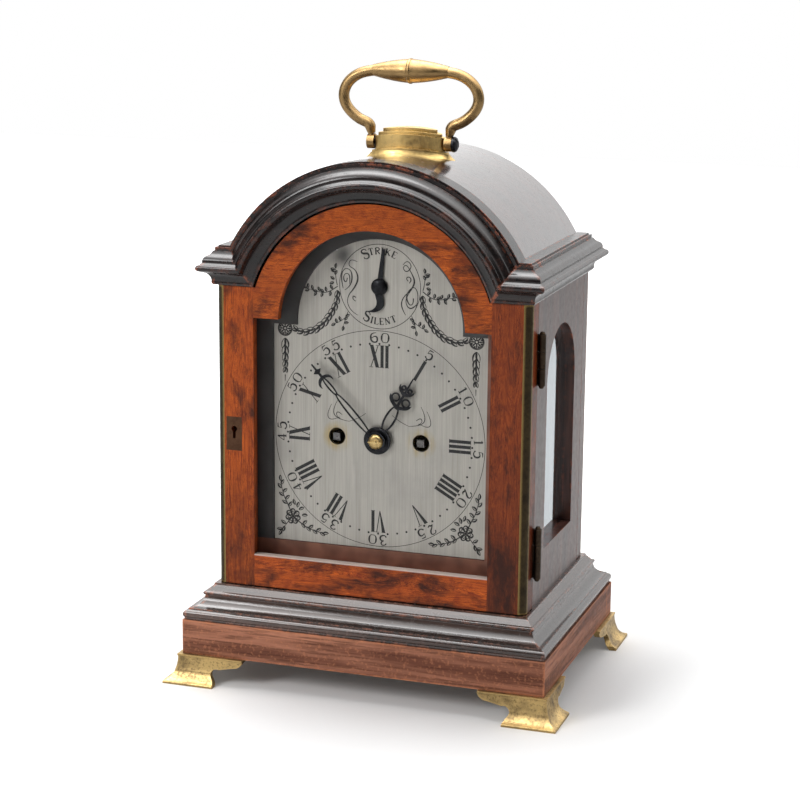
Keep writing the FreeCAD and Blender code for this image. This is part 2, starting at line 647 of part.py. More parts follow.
def arch_rail(front):
    """The arched top piece; its outer edge slopes in towards the case."""
    span = door_places(front)
    low, high = span("0", "door_thick")
    radii = ("door_arch", "door_arch - arch_relief") if front else ("door_arch - arch_relief", "door_arch")
    arch = common(cone_y(*radii, low, high, "0", "arch_axis"),
                  block("-half", "half", low, high, "door_top", "roof_top"))
    wood = fuse(block("-sight_half", "sight_half", low, high, "sight_shoulder", "door_top"), arch)
    return cut(wood, *sight_cut(span))


def pane(front):
    low, high = door_places(front)("door_lip", "(door_lip + glass)")
    return fuse(block("-pane_half", "pane_half", low, high, "sight_bottom - rebate + glass_play",
                      "sight_shoulder + rebate - glass_play"),
                rod("y", "sight_arch + rebate - glass_play", low, high, "0", "sight_axis"))


def corner_strips(front):
    """Quarter-round brass strips in the outer corners."""
    strips = []
    for sign in (-1, 1):
        strip = DOC.addObject("Part::Cylinder", "strip")
        turn = {(True, 1): -90, (True, -1): 180, (False, 1): 0, (False, -1): 90}[(front, sign)]
        strip.Placement = Placement(Vector(), Rotation(Vector(0, 0, 1), turn))
        strip.Angle = 90
        bind(strip, "Radius", "edge_radius")
        bind(strip, "Height", "door_top - door_bottom")
        bind(strip, "Placement.Base.x", "half - edge_radius" if sign > 0 else "edge_radius - half")
        bind(strip, "Placement.Base.y", "door_face + edge_radius" if front else "rear_face - edge_radius")
        bind(strip, "Placement.Base.z", "door_bottom")
        strips.append(strip)
    return strips


def leaf_cuts(front):
    """Recesses for the door's hinge leaves, in the back of its hanging stile."""
    low, high = ("half - hinge_leaf_width", "half") if front else ("-half", "hinge_leaf_width - half")
    span = ("front_joint - hinge_leaf", "front_joint") if front else ("rear_joint", "rear_joint + hinge_leaf")
    return [hinge_recess(low, high, *span, middle) for middle in LOWER_UPPER]


lock_room_in_door = block("-lock_centre - lock_width / 2", "lock_width / 2 - lock_centre",
                          "front_joint - lock_depth", "front_joint",
                          "lock_height_centre - lock_height / 2", "lock_height_centre + lock_height / 2")
plate_room = block("-lock_centre - plate_width / 2", "plate_width / 2 - lock_centre",
                   "door_face", "door_face + plate_thick",
                   "lock_height_centre - plate_height / 2", "lock_height_centre + plate_height / 2")


def keyhole_cut(low, high):
    """A round hole over a slot."""
    return [rod("y", "keyhole", low, high, "-lock_centre", "lock_height_centre + 3"),
            block("-lock_centre - 0.9", "0.9 - lock_centre", low, high, "lock_height_centre - 3",
                  "lock_height_centre + 3")]


piece("front_stile_left", stile(True, -1, lock_room_in_door, plate_room, *keyhole_cut("door_face", "front_joint")))
piece("front_stile_right", stile(True, 1, *leaf_cuts(True)))
piece("front_bottom_rail", bottom_rail(True))
piece("front_arch_rail", arch_rail(True))
piece("front_glass", pane(True))
group("front_brass_edges", corner_strips(True))
piece("escutcheon", cut(block("-lock_centre - plate_width / 2", "plate_width / 2 - lock_centre",
                              "door_face", "door_face + plate_thick",
                              "lock_height_centre - plate_height / 2", "lock_height_centre + plate_height / 2"),
                        *keyhole_cut("door_face", "door_face + plate_thick")))

# The lock is let into the left stile and stands behind it; its bolt catches behind the mask.
lock_case = block("-lock_centre - lock_width / 2", "lock_width / 2 - lock_centre", "front_joint - lock_depth",
                  "front_joint + lock_stand", "lock_height_centre - lock_height / 2",
                  "lock_height_centre + lock_height / 2")
bolt_channel = block("-lock_centre - lock_width / 2 + 1.2", "lock_width / 2 - lock_centre",
                     "bolt_front - bolt_fit", "bolt_front + bolt_thick + bolt_fit",
                     "lock_height_centre - bolt_height / 2 - bolt_fit",
                     "lock_height_centre + bolt_height / 2 + bolt_fit")
piece("front_lock", cut(lock_case, bolt_channel, *keyhole_cut("front_joint - lock_depth", "front_joint")))
piece("front_lock_bolt", block("-lock_centre - lock_width / 2 + 1.5", "lock_width / 2 - lock_centre - 0.2",
                               "bolt_front", "bolt_front + bolt_thick",
                               "lock_height_centre - bolt_height / 2", "lock_height_centre + bolt_height / 2"))

# The rear door has a turning latch instead of a lock.
latch_hole = rod("y", "latch_shaft + pin_play", "rear_joint", "rear_face", "latch_offset", "lock_height_centre")
group("rear_door_frame", [stile(False, -1, *leaf_cuts(False)), stile(False, 1, latch_hole),
                          bottom_rail(False), arch_rail(False)])
piece("rear_glass", pane(False))
group("rear_brass_edges", corner_strips(False))
tongue = block("latch_offset - 3", "latch_offset + 3", "case_rear - 3 - latch_tongue", "case_rear - 3",
               "lock_height_centre - 3", "lock_height_centre + latch_reach")
piece("rear_latch", fuse(rod("y", "latch_shaft", "case_rear - 3.5", "rear_face + 3", "latch_offset", "lock_height_centre"),
                         rod("y", "6.5", "rear_face + 0.3", "rear_face + 1.8", "latch_offset", "lock_height_centre"),
                         block("latch_offset - 1.5", "latch_offset + 1.5", "rear_face + 1.8", "rear_face + 7.5",
                               "lock_height_centre - 6", "lock_height_centre + 6"),
                         tongue))


def hinge(front, middle):
    """The case's leaf, the door's leaf and the pin of one butt hinge."""
    sign = 1 if front else -1
    way = 1 if front else -1
    joint = S.case_front if front else S.case_rear
    line_y = joint - way * S.door_gap / 2
    bottom = middle - S.hinge_length / 2
    third = (S.hinge_length - 2 * S.knuckle_gap) / 3
    spans = [(bottom + i * (third + S.knuckle_gap), bottom + i * (third + S.knuckle_gap) + third) for i in range(3)]

    def leaf(face, inward, owned, bore):
        low_y, high_y = sorted((face, face + inward * S.hinge_leaf))
        shape = box_shape(S.half - S.hinge_leaf_width, S.half, low_y, high_y, bottom, bottom + S.hinge_length)
        for low, high in (spans[i] for i in owned):
            shape = shape.fuse(box_shape(S.half - 1, S.hinge_line, low_y, high_y, low, high))
            shape = shape.fuse(rod_shape(S.knuckle, Vector(S.hinge_line, line_y, low), Vector(S.hinge_line, line_y, high)))
        hole = rod_shape(bore, Vector(S.hinge_line, line_y, bottom - 1),
                         Vector(S.hinge_line, line_y, bottom + S.hinge_length + 1))
        return shape.cut(hole).removeSplitter()

    case_leaf = leaf(joint, way, (0, 2), S.hinge_pin)
    door_leaf = leaf(joint - way * S.door_gap, -way, (1,), S.hinge_pin + S.pin_play)
    tip = 1.6
    pin = turned(((0, -tip), (1.2, -tip), (1.7, -0.6), (1.7, 0), (S.hinge_pin, 0), (S.hinge_pin, S.hinge_length),
                  (1.7, S.hinge_length), (1.7, S.hinge_length + 0.6), (1.2, S.hinge_length + tip),
                  (0, S.hinge_length + tip)), Vector(S.hinge_line, line_y, bottom), Vector(0, 0, 1))
    shapes = [case_leaf, door_leaf, pin]
    return shapes if sign > 0 else [mirrored_x(shape) for shape in shapes]


front_hinges = [hinge(True, S.lower_hinge), hinge(True, S.upper_hinge)]
rear_hinges = [hinge(False, S.lower_hinge), hinge(False, S.upper_hinge)]
piece("case_hinges", feature(Part.makeCompound([shape for item in front_hinges + rear_hinges
                                                for shape in (item[0], item[2])])))
piece("front_hinge_leaves", feature(Part.makeCompound([item[1] for item in front_hinges])))
piece("rear_hinge_leaves", feature(Part.makeCompound([item[1] for item in rear_hinges])))

# ---------------------------------------------------------------- handle


def oval(half_x, half_y, low, high):
    """An upright oval prism round the middle of the handle."""
    ellipse = Part.Ellipse(Vector(0, S.handle_line, low), half_x, half_y)
    return Part.Face(Part.Wire([ellipse.toShape()])).extrude(Vector(0, 0, high - low))


def round_roof(radius):
    """A cylinder about the roof's axis, as wide as the clock is deep."""
    return rod_shape(radius, Vector(0, S.case_front, S.arch_axis), Vector(0, S.case_rear, S.arch_axis))


def handle_base():
    """A cast oval base that follows the curve of the roof: a hollow skirt, a flange, a band and two steps."""
    wide = S.base_half
    deep = S.base_depth / 2
    low = S.roof_top - 16
    high = S.roof_top + 20
    skirt = turned(((0, low), (wide + 11, low), (wide + 11, S.roof_top - 5.5),
                    ((wide + 4.0, S.roof_top - 2.2), (wide + 1.4, S.roof_top + 3.4)), (0, S.roof_top + 3.4)),
                   Vector(0, 0, 0), Vector(0, 0, 1))
    squeeze = FreeCAD.Matrix()
    squeeze.scale(1, (deep + 7) / (wide + 11), 1)
    skirt = skirt.transformGeometry(squeeze)
    skirt.translate(Vector(0, S.handle_line, 0))
    shape = skirt.common(round_roof(S.roof_radius + 2.2))
    for grow, inner, outer in ((2.3, 2.2, 3.3), (0.1, 3.3, 4.7), (0, 4.7, 11.6), (-1.9, 11.6, 13.4), (-4.9, 13.4, 15.4)):
        ring_part = round_roof(S.roof_radius + outer).cut(round_roof(S.roof_radius + inner - 0.3))
        shape = shape.fuse(oval(wide + grow, deep + grow, low, high).common(ring_part))
    seated = shape.cut(round_roof(S.roof_radius)).removeSplitter()
    return max(seated.Solids, key=lambda solid: solid.Volume)


EYE_GAP = 0.3
piece("handle_base", cut(feature(handle_base()),
                         rod("x", "pivot_screw", "-base_half", "base_half", "handle_line", "pivot_line")))


def handle():
    """A bar bent to a bail, with a swelling grip and an eye at each end."""
    y = S.handle_line
    z = S.pivot_line
    eye_middle = S.base_half + EYE_GAP + S.eye_width / 2
    top = z + S.handle_rise
    grip_end = 24.5
    neck = S.eye_width / 2
    foot_point = Vector(eye_middle, y, z + 4.8)
    start = Vector(eye_middle + 1.0, y, z + 9.0)
    half = S.handle_half
    outline = ((half - 12.5, 12.8), (half - 6.4, 16.6), (half - 1.9, 21.6), (half, 28.2),
               (half - 2.2, 35.0), (half - 6.8, 39.6), (half - 12.6, 42.4), (grip_end, S.handle_rise - 0.3))
    curve = Part.BSplineCurve()
    through = [start] + [Vector(x, y, z + up) for x, up in outline] + [Vector(grip_end - 6, y, top)]
    curve.interpolate(Points=through, InitialTangent=(start - foot_point).normalize() * 6,
                      FinalTangent=Vector(-6, 0, 0))
    path = Part.Wire([curve.toShape(), Part.makeLine(through[-1], Vector(0, y, top))])
    circle = Part.Wire(Part.makeCircle(S.handle_bar, start, start - foot_point))
    bar = path.makePipeShell([circle], True, False)
    eye = rod_shape(S.eye_radius, Vector(S.base_half + EYE_GAP, y, z),
                    Vector(S.base_half + EYE_GAP + S.eye_width, y, z))
    stem = rod_shape(neck, Vector(eye_middle, y, z + 2.8), foot_point)
    swell = Part.makeCone(neck, S.handle_bar, (start - foot_point).Length, foot_point, start - foot_point)
    side = bar.fuse(eye).fuse(stem).fuse(swell)
    slim = S.handle_bar + 0.1
    wide = S.handle_grip
    grip = turned(((0, -grip_end), (slim, -grip_end), ((wide - 1.3, -grip_end / 2), (wide, -1.2)),
                   (wide + 0.45, -0.5), (wide + 0.45, 0.5), (wide, 1.2),
                   ((wide - 1.3, grip_end / 2), (slim, grip_end)), (0, grip_end)),
                  Vector(0, y, top), Vector(1, 0, 0))
    shape = side.fuse([mirrored_x(side), grip])
    hole = rod_shape(S.pivot_screw + S.pin_play, Vector(-S.half, y, z), Vector(S.half, y, z))
    return shape.cut(hole).removeSplitter()


piece("carry_handle", feature(handle()))


def handle_bolt():
    """One bolt through both eyes and the base, flush on the left, with a domed and slotted head on the right."""
    end = S.base_half + 2 * EYE_GAP + S.eye_width
    flush = EYE_GAP - end
    head = turned(((0, flush), (S.pivot_screw, flush), (S.pivot_screw, end),
                   (S.screw_head, end), (S.screw_head, end + 1.2), (S.screw_head * 0.86, end + 2.3),
                   (S.screw_head * 0.5, end + 3.2), (0, end + 3.4)),
                  Vector(0, S.handle_line, S.pivot_line), Vector(1, 0, 0))
    slot = box_shape(end + 2.0, end + 5, S.handle_line - 0.5, S.handle_line + 0.5, S.pivot_line - 9, S.pivot_line + 9)
    slot.rotate(Vector(0, S.handle_line, S.pivot_line), Vector(1, 0, 0), 35)
    return head.cut(slot)


piece("handle_bolt", feature(handle_bolt()))

# ---------------------------------------------------------------- dial and hands

dial_back = "dial_face + dial_thick"
plate = fuse(block("-dial_half", "dial_half", "dial_face", dial_back, "dial_bottom", "sight_shoulder - 5.9"),
             rod("y", "dial_arch", "dial_face", dial_back, "0", "arch_axis + 1.5"),
             *[rod("y", "2.5", dial_back, "front_plate_front", x, z)
               for x in ("-pillar_offset + 1", "pillar_offset - 1")
               for z in ("plates_bottom + 16", "plates_top - 16")])
piece("dial_plate", cut(plate,
                        rod("y", "winding_hole", "dial_face", dial_back, "-winding_offset", "centre"),
                        rod("y", "winding_hole", "dial_face", dial_back, "winding_offset", "centre"),
                        rod("y", "hour_pipe + 0.5", "dial_face", dial_back, "0", "centre"),
                        rod("y", "1.25 + pin_play", "dial_face", dial_back, "0", "body_top + selector_rise")))


def ring(radius, width, at, low, high):
    """A flat ring about a place on the dial."""
    outer = rod_shape(radius, Vector(at[0], low, at[1]), Vector(at[0], high, at[1]))
    return outer.cut(rod_shape(radius - width, Vector(at[0], low - 1, at[1]), Vector(at[0], high + 1, at[1])))


def taper(start, end, first, last, low, high):
    """A flat bar from one place to another, first wide at its start and last wide at its end."""
    along = Vector(end[0] - start[0], 0, end[1] - start[1])
    across = Vector(along.z, 0, -along.x).normalize()
    a = Vector(start[0], low, start[1])
    b = Vector(end[0], low, end[1])
    corners = [a + across * first / 2, b + across * last / 2, b - across * last / 2, a - across * first / 2]
    return Part.Face(Part.makePolygon(corners + corners[:1])).extrude(Vector(0, high - low, 0))


def loop(half_wide, half_high, middle, width, low, high):
    """A flat upright oval loop."""
    outer = Part.Ellipse(Vector(0, 0, 0), half_high, half_wide)
    inner = Part.Ellipse(Vector(0, 0, 0), half_high - width, half_wide - width)
    sheet_of_loop = Part.Face(Part.Wire([outer.toShape()])).cut(Part.Face(Part.Wire([inner.toShape()])))
    made = sheet_of_loop.extrude(Vector(0, 0, high - low))
    made.rotate(Vector(0, 0, 0), Vector(0, 0, 1), 90)
    made.rotate(Vector(0, 0, 0), Vector(1, 0, 0), 90)
    made.translate(Vector(0, high, S.centre + middle))
    return made


def outlined(sides, middle, low, high):
    """A flat shape whose outline runs smoothly along each side in turn."""
    edges = []
    for points in sides:
        places = [Vector(x, low, middle + z) for x, z in points]
        if len(places) == 2:
            edges.append(Part.makeLine(places[0], places[1]))
        else:
            curve = Part.BSplineCurve()
            curve.interpolate(places)
            edges.append(curve.toShape())
    return Part.Face(Part.Wire(edges)).extrude(Vector(0, high - low, 0))


def scroll_hand(length, boss, shaft, low, parts, stem):
    """A pierced hand drawn upright: a boss, loops, pairs of open scrolls, and a stem that ends in a point."""
    high = low + S.hand_thick
    centre_z = S.centre
    shape = rod_shape(boss, Vector(0, low, centre_z), Vector(0, high, centre_z))
    for half_wide, half_high, middle, width in parts["loops"]:
        shape = shape.fuse(loop(half_wide, half_high, middle, width, low, high))
    start, wide = stem
    shape = shape.fuse(taper((0, centre_z + start), (0, centre_z + length), wide, 0.7, low, high))
    for height, radius, spread in parts["scrolls"]:
        for side in (-1, 1):
            shape = shape.fuse(ring(radius, 1.0, (side * spread, centre_z + height), low, high))
    for sides in parts["leaves"]:
        leaf = outlined(sides, centre_z, low, high)
        shape = shape.fuse([leaf, mirrored_x(leaf)])
    shape = shape.removeSplitter()
    return shape.cut(rod_shape(shaft, Vector(0, low - 1, centre_z), Vector(0, high + 1, centre_z)))


def turned_hand(shape, degrees):
    """The hand at its place on the dial, clockwise from twelve."""
    shape.rotate(Vector(0, 0, S.centre), Vector(0, 1, 0), degrees)
    return shape


HOUR_ANGLE = 29.5
MINUTE_ANGLE = 317.0
hour_low = S.dial_face - 3.4
minute_low = S.dial_face - 6.0
hour_parts = {
    "loops": ((3.6, 9.6, 16.6, 1.2),),
    "scrolls": ((30.6, 2.9, 3.7), (38.4, 1.7, 2.2)),
    "leaves": (
        (((0.2, 23.8), (3.0, 25.2), (6.4, 27.4), (7.6, 30.8)), ((7.6, 30.8), (5.2, 28.9), (2.4, 27.2), (0.2, 26.6)),
         ((0.2, 26.6), (0.2, 23.8))),
        (((0.2, 33.6), (2.4, 34.6), (4.6, 36.4), (5.0, 39.6)), ((5.0, 39.6), (3.6, 37.6), (1.8, 36.4), (0.2, 36.0)),
         ((0.2, 36.0), (0.2, 33.6))),
    ),
}
hour_shape = scroll_hand(S.hour_length, 8.6, S.hour_pipe, hour_low, hour_parts, (24.0, 1.8))
piece("hour_hand", feature(turned_hand(hour_shape, HOUR_ANGLE)))
minute_parts = {
    "loops": ((2.4, 16.6, 22.0, 0.9), (1.7, 7.2, 44.0, 0.8)),
    "scrolls": (),
    "leaves": (
        (((0.2, 49.9), (2.2, 49.6), (4.0, 48.2), (4.6, 46.0)), ((4.6, 46.0), (5.0, 48.8), (3.2, 51.2), (0.2, 52.0)),
         ((0.2, 52.0), (0.2, 49.9))),
        (((0.0, 53.8), (3.0, 56.3)), ((3.0, 56.3), (0.0, 57.6)), ((0.0, 57.6), (0.0, 53.8))),
    ),
}
minute_shape = scroll_hand(S.minute_length, 6.0, S.cannon_pipe - 0.5, minute_low, minute_parts, (50.4, 1.6))
piece("minute_hand", feature(turned_hand(minute_shape, MINUTE_ANGLE)))

collet_base = minute_low
piece("hand_collet", feature(turned(((1, 0), (4.7, 0), ((3.9, -1.4), (2.6, -1.9)), (1, -1.9)),
                                    Vector(0, collet_base, S.centre), Vector(0, 1, 0)).fuse(
    box_shape(-4.2, 4.2, collet_base - 2.6, collet_base - 1.9, S.centre - 0.4, S.centre + 0.4)).cut(
        rod_shape(S.arbor + S.pin_play, Vector(0, collet_base - 4, S.centre), Vector(0, collet_base + 1, S.centre)))))


def selector_hand():
    """The strike and silent hand: a domed boss, a long pointer, a curled tail and its own arbor."""
    z = S.body_top + S.selector_rise
    low = S.dial_face - 1.4
    high = low + S.hand_thick
    shape = rod_shape(5.2, Vector(0, low, z), Vector(0, high, z))
    tail = outlined((((-2.4, -4.2), (-1.5, -6.8), (-0.6, -9.5), (-0.9, -12.0), (-3.0, -14.6), (-6.3, -16.0)),
                     ((-6.3, -16.0), (-2.4, -16.1), (1.7, -14.5), (4.0, -11.2), (3.8, -8.0), (2.6, -4.2)),
                     ((2.6, -4.2), (-2.4, -4.2))), z, low, high)
    shape = shape.fuse([taper((0, z), (0, z + 23.4), 3.6, 1.7, low, high), tail])
    shape = shape.fuse(turned(((0, 0.4), (5.0, 0.4), (5.0, -0.6), (4.2, -1.3), (3.0, -1.8), (1.5, -2.1), (0, -2.2)),
                              Vector(0, low, z), Vector(0, 1, 0)))
    shape.rotate(Vector(0, low, z), Vector(0, 1, 0), 6.0)
    shape = shape.fuse(rod_shape(1.25, Vector(0, low, z), Vector(0, S.dial_face + S.dial_thick + 2.4, z)))
    shape = shape.fuse(rod_shape(3.0, Vector(0, S.dial_face + S.dial_thick + 0.3, z),
                                 Vector(0, S.dial_face + S.dial_thick + 1.8, z)))
    return shape.removeSplitter()


piece("strike_silent_hand", feature(selector_hand()))

# ---------------------------------------------------------------- movement

PILLARS = [(-S.pillar_offset, S.plates_bottom + 5), (S.pillar_offset, S.plates_bottom + 5),
           (-S.pillar_offset, S.plates_top - 6), (S.pillar_offset, S.plates_top - 6), (0, S.plates_bottom + 5)]
PIVOT = 2.0


def pillar(at):
    """A turned pillar, riveted at its back and pinned at its front."""
    room = S.plate_room
    big = S.pillar_radius
    plate_thick = S.movement_plate
    outline = ((0, -plate_thick), (PIVOT, -plate_thick), (PIVOT, 0), (big, 0), (big, 3), (2.6, 4),
               ((3.0, room * 0.3), (big * 0.86, room / 2)), ((3.0, room * 0.7), (2.6, room - 4)),
               (big, room - 3), (big, room), (PIVOT, room), (PIVOT, room + plate_thick), (0, room + plate_thick))
    return turned(outline, Vector(at[0], S.front_plate_back, at[1]), Vector(0, 1, 0))


piece("pillars", feature(Part.makeCompound([pillar(at) for at in PILLARS])))

ARBORS = {
    "going_fusee": ("winding_offset", "centre", "2.2"),
    "strike_fusee": ("-winding_offset", "centre", "2.2"),
    "going_barrel": ("barrel_offset", "centre - barrel_drop", "1.6"),
    "strike_barrel": ("-barrel_offset", "centre - barrel_drop", "1.6"),
    "centre_wheel": ("0", "centre", "arbor"),
    "contrate_wheel": ("0", "centre + contrate_rise", "0.9"),
    "bell_hammer": ("-43", "verge - 2", "0.9"),
}
CENTRE_TEETH = 72
CONTRATE_LEAVES = 6
GREAT_TEETH = 96
CENTRE_LEAVES = 8
CONTRATE_TEETH = 78
CROWN_TEETH = 33
HOUR_TEETH = 72
MINUTE_LEAVES = 6
HOUR_MODULE = 0.6
motion_drop = HOUR_MODULE * (HOUR_TEETH + MINUTE_LEAVES) / 2
contrate_rise = S.tooth_module * (CENTRE_TEETH + CONTRATE_LEAVES) / 2


def plate_holes(low, high, front):
    """Pivot holes, in the front or the back plate."""
    holes = [rod("y", f"{radius} + pin_play", low, high, x, z.replace("contrate_rise", str(contrate_rise)))
             for x, z, radius in ARBORS.values()]
    holes += [rod("y", str(PIVOT), low, high, x, z)
              for x, z in (("-pillar_offset", "plates_bottom + 5"), ("pillar_offset", "plates_bottom + 5"),
                           ("-pillar_offset", "plates_top - 6"), ("pillar_offset", "plates_top - 6"),
                           ("0", "plates_bottom + 5"))]
    holes.append(rod("y", "0.8 + pin_play" if front else "3.5", low, high, "0", "verge"))
    if front:
        holes.append(rod("y", "0.9", low, high, "0", f"centre - {motion_drop}"))
    return holes


def movement_plate(label, low, high, front):
    """A plate as a padded sketch, then bored for its pivots."""
    body = DOC.addObject("PartDesign::Body", "plate_body")
    sketch = body.newObject("Sketcher::SketchObject", "plate_outline")
    plane = [item for item in body.Origin.OriginFeatures if item.Role == "XZ_Plane"][0]
    sketch.AttachmentSupport = (plane, [""])
    sketch.MapMode = "FlatFace"
    left, right_x, bottom, top = -S.movement_half, S.movement_half, S.plates_bottom, S.plates_top
    corners = [Vector(left, bottom), Vector(right_x, bottom), Vector(right_x, top), Vector(left, top)]
    for start, end in zip(corners, corners[1:] + corners[:1]):
        sketch.addGeometry(Part.LineSegment(start, end), False)
    for here, following in ((0, 1), (1, 2), (2, 3), (3, 0)):
        sketch.addConstraint(Sketcher.Constraint("Coincident", here, 2, following, 1))
    for line, kind in ((0, "Horizontal"), (1, "Vertical"), (2, "Horizontal"), (3, "Vertical")):
        sketch.addConstraint(Sketcher.Constraint(kind, line))
    for name, first, point, value, formula in (
            ("DistanceX", 0, 2, right_x, "movement_half"), ("DistanceY", 0, 2, bottom, "plates_bottom"),
            ("DistanceX", 0, 1, left, "-movement_half"), ("DistanceY", 2, 1, top, "plates_top")):
        index = sketch.addConstraint(Sketcher.Constraint(name, -1, 1, first, point, value))
        bind(sketch, f"Constraints[{index}]", formula)
    pad = body.newObject("PartDesign::Pad", "plate_pad")
    pad.Profile = sketch
    pad.Reversed = True
    bind(pad, "Length", "movement_plate")
    bind(body, "Placement.Base.y", low)
    return piece(label, cut(body, *plate_holes(low, high, front)))


movement_plate("front_plate", "front_plate_front", "front_plate_back", True)
back_plate = movement_plate("back_plate", "back_plate_front", "back_plate_back", False)


def toothed(teeth, module, low, high, phase, at, tip=0.85, root=1.15, width=0.4):
    """A spur wheel or pinion about Y, with a tooth at the angle phase (degrees up from +X)."""
    pitch = teeth * module / 2
    step = 2 * math.pi / teeth
    points = []
    for index in range(teeth):
        middle = math.radians(phase) + index * step
        for offset, radius in ((-0.5 * (1.5 - width) + 0.0, pitch - root * module), (-width * 0.62, pitch - root * module),
                               (-width * 0.25, pitch + tip * module), (width * 0.25, pitch + tip * module),
                               (width * 0.62, pitch - root * module)):
            if offset == -0.5 * (1.5 - width):
                continue
            angle = middle + offset * step
            points.append(Vector(at[0] + radius * math.cos(angle), low, at[1] + radius * math.sin(angle)))
    return Part.Face(Part.makePolygon(points + points[:1])).extrude(Vector(0, high - low, 0))


def arbor_shape(at, low, high, radius):
    return rod_shape(radius, Vector(at[0], low, at[1]), Vector(at[0], high, at[1]))


def crossed(shape, at, rim, hub, low, high, spokes=4):
    """Openings between the rim and the hub that leave straight spokes."""
    hole = ring(rim, rim - hub, at, low - 1, high + 1)
    for index in range(spokes):
        angle = math.pi / spokes * (2 * index + 1)
        end = (at[0] + 2 * rim * math.cos(angle), at[1] + 2 * rim * math.sin(angle))
        hole = hole.cut(taper(at, end, 3.2, 3.2, low - 2, high + 2))
    return shape.cut(hole)


GREAT_MODULE = 2 * S.winding_offset / (GREAT_TEETH + CENTRE_LEAVES)
going_plane = S.front_plate_back + 3.5
strike_plane = S.front_plate_back + 9.0
cone_end = S.back_plate_front - 7.0


def fusee(side, plane, phase):
    """Great wheel, grooved cone and winding square on one arbor."""
    at = (side * S.winding_offset, S.centre)
    high = plane + 2.5
    shape = toothed(GREAT_TEETH, GREAT_MODULE, plane, high, phase, at)
    start = high + 1.0
    turns = 8
    run = (cone_end - start) / turns
    outline = [(0, -1.0), (S.fusee_large, -1.0), (S.fusee_large, 0)]
    for index in range(turns):
        share = index / turns
        radius = S.fusee_large + (S.fusee_small - S.fusee_large) * math.sqrt(share)
        outline += [(radius, index * run + 0.6), ((radius - 0.9, (index + 0.5) * run), (radius, (index + 0.9) * run))]
    outline += [(S.fusee_small, cone_end - start), (0, cone_end - start)]
    shape = shape.fuse(turned(outline, Vector(at[0], start, at[1]), Vector(0, 1, 0)))
    shape = shape.fuse(arbor_shape(at, S.front_plate_front - 0.5, S.back_plate_back, 2.2))
    square_end = S.dial_face - 1.0
    side_half = S.square_side / 2
    shape = shape.fuse(box_shape(at[0] - side_half, at[0] + side_half, square_end, S.front_plate_front - 0.5,
                                 at[1] - side_half, at[1] + side_half))
    return shape.removeSplitter()


def barrel(side, plane):
    """A spring barrel with raised ends on its arbor, behind the great wheel it drives."""
    at = (side * S.barrel_offset, S.centre - S.barrel_drop)
    low = plane + 3.2
    long = cone_end - low + 2
    big = S.barrel_radius
    drum = turned(((1.6, 0), (big, 0), (big, 1.6), (big - 1.2, 1.6), (big - 1.2, long - 1.6), (big, long - 1.6),
                   (big, long), (1.6, long)), Vector(at[0], low, at[1]), Vector(0, 1, 0))
    return drum.fuse(arbor_shape(at, S.front_plate_front, S.back_plate_back, 1.6)).removeSplitter()


piece("going_fusee", feature(fusee(1, going_plane, 180.0)))
piece("strike_fusee", feature(fusee(-1, strike_plane, 0.0)))
piece("going_barrel", feature(barrel(1, going_plane)))
piece("strike_barrel", feature(barrel(-1, strike_plane)))


def gut_line(side):
    """The gut from barrel to fusee, drawn straight along their outer tangent."""
    gut = 0.6
    barrel_at = Vector(S.barrel_offset, cone_end - 2.1, S.centre - S.barrel_drop)
    fusee_at = Vector(S.winding_offset, cone_end - 2.1, S.centre)
    barrel_reach = S.barrel_radius - 1.2 + gut + 0.35
    fusee_reach = S.fusee_small + gut + 0.9
    along = (fusee_at - barrel_at).normalize()
    outward = Vector(along.z, 0, -along.x)
    lean = (barrel_reach - fusee_reach) / (fusee_at - barrel_at).Length
    normal = along * lean + outward * math.sqrt(1 - lean * lean)
    line = rod_shape(gut, barrel_at + normal * barrel_reach, fusee_at + normal * fusee_reach)
    return line if side > 0 else mirrored_x(line)


piece("gut_lines", feature(Part.makeCompound([gut_line(1), gut_line(-1)])))

# Centre arbor: pinion at the going great wheel, wheel near the back plate, and a pivot out to the hands.
centre_at = (0.0, S.centre)
half_step = 180.0 / CENTRE_LEAVES
wheel_low = S.back_plate_front - 4.5
centre_shape = toothed(CENTRE_LEAVES, GREAT_MODULE, going_plane - 1, going_plane + 3.5, half_step, centre_at, 0.85, 1.1, 0.36)
centre_teeth = toothed(CENTRE_TEETH, S.tooth_module, wheel_low, wheel_low + 2, 90.0, centre_at)
centre_shape = centre_shape.fuse([crossed(centre_teeth, centre_at, 15.6, 4.0, wheel_low, wheel_low + 2),
                                  arbor_shape(centre_at, minute_low - 2.6, S.back_plate_back, S.arbor)])
piece("centre_wheel", feature(centre_shape.removeSplitter()))

# Motion work between the front plate and the dial.
CANNON_TEETH = 36
CANNON_MODULE = motion_drop / CANNON_TEETH
minute_at = (0.0, S.centre - motion_drop)
cannon_low = S.front_plate_front - 3.0
cannon = toothed(CANNON_TEETH, CANNON_MODULE, cannon_low, cannon_low + 1.5, -90.0, centre_at)
cannon = cannon.fuse(arbor_shape(centre_at, minute_low + S.hand_thick, cannon_low, S.cannon_pipe))
cannon = cannon.fuse(arbor_shape(centre_at, minute_low, minute_low + S.hand_thick, S.cannon_pipe - 0.5))
piece("cannon_pinion", feature(cannon.cut(arbor_shape(centre_at, minute_low - 5, 0, S.arbor + S.pin_play)).removeSplitter()))

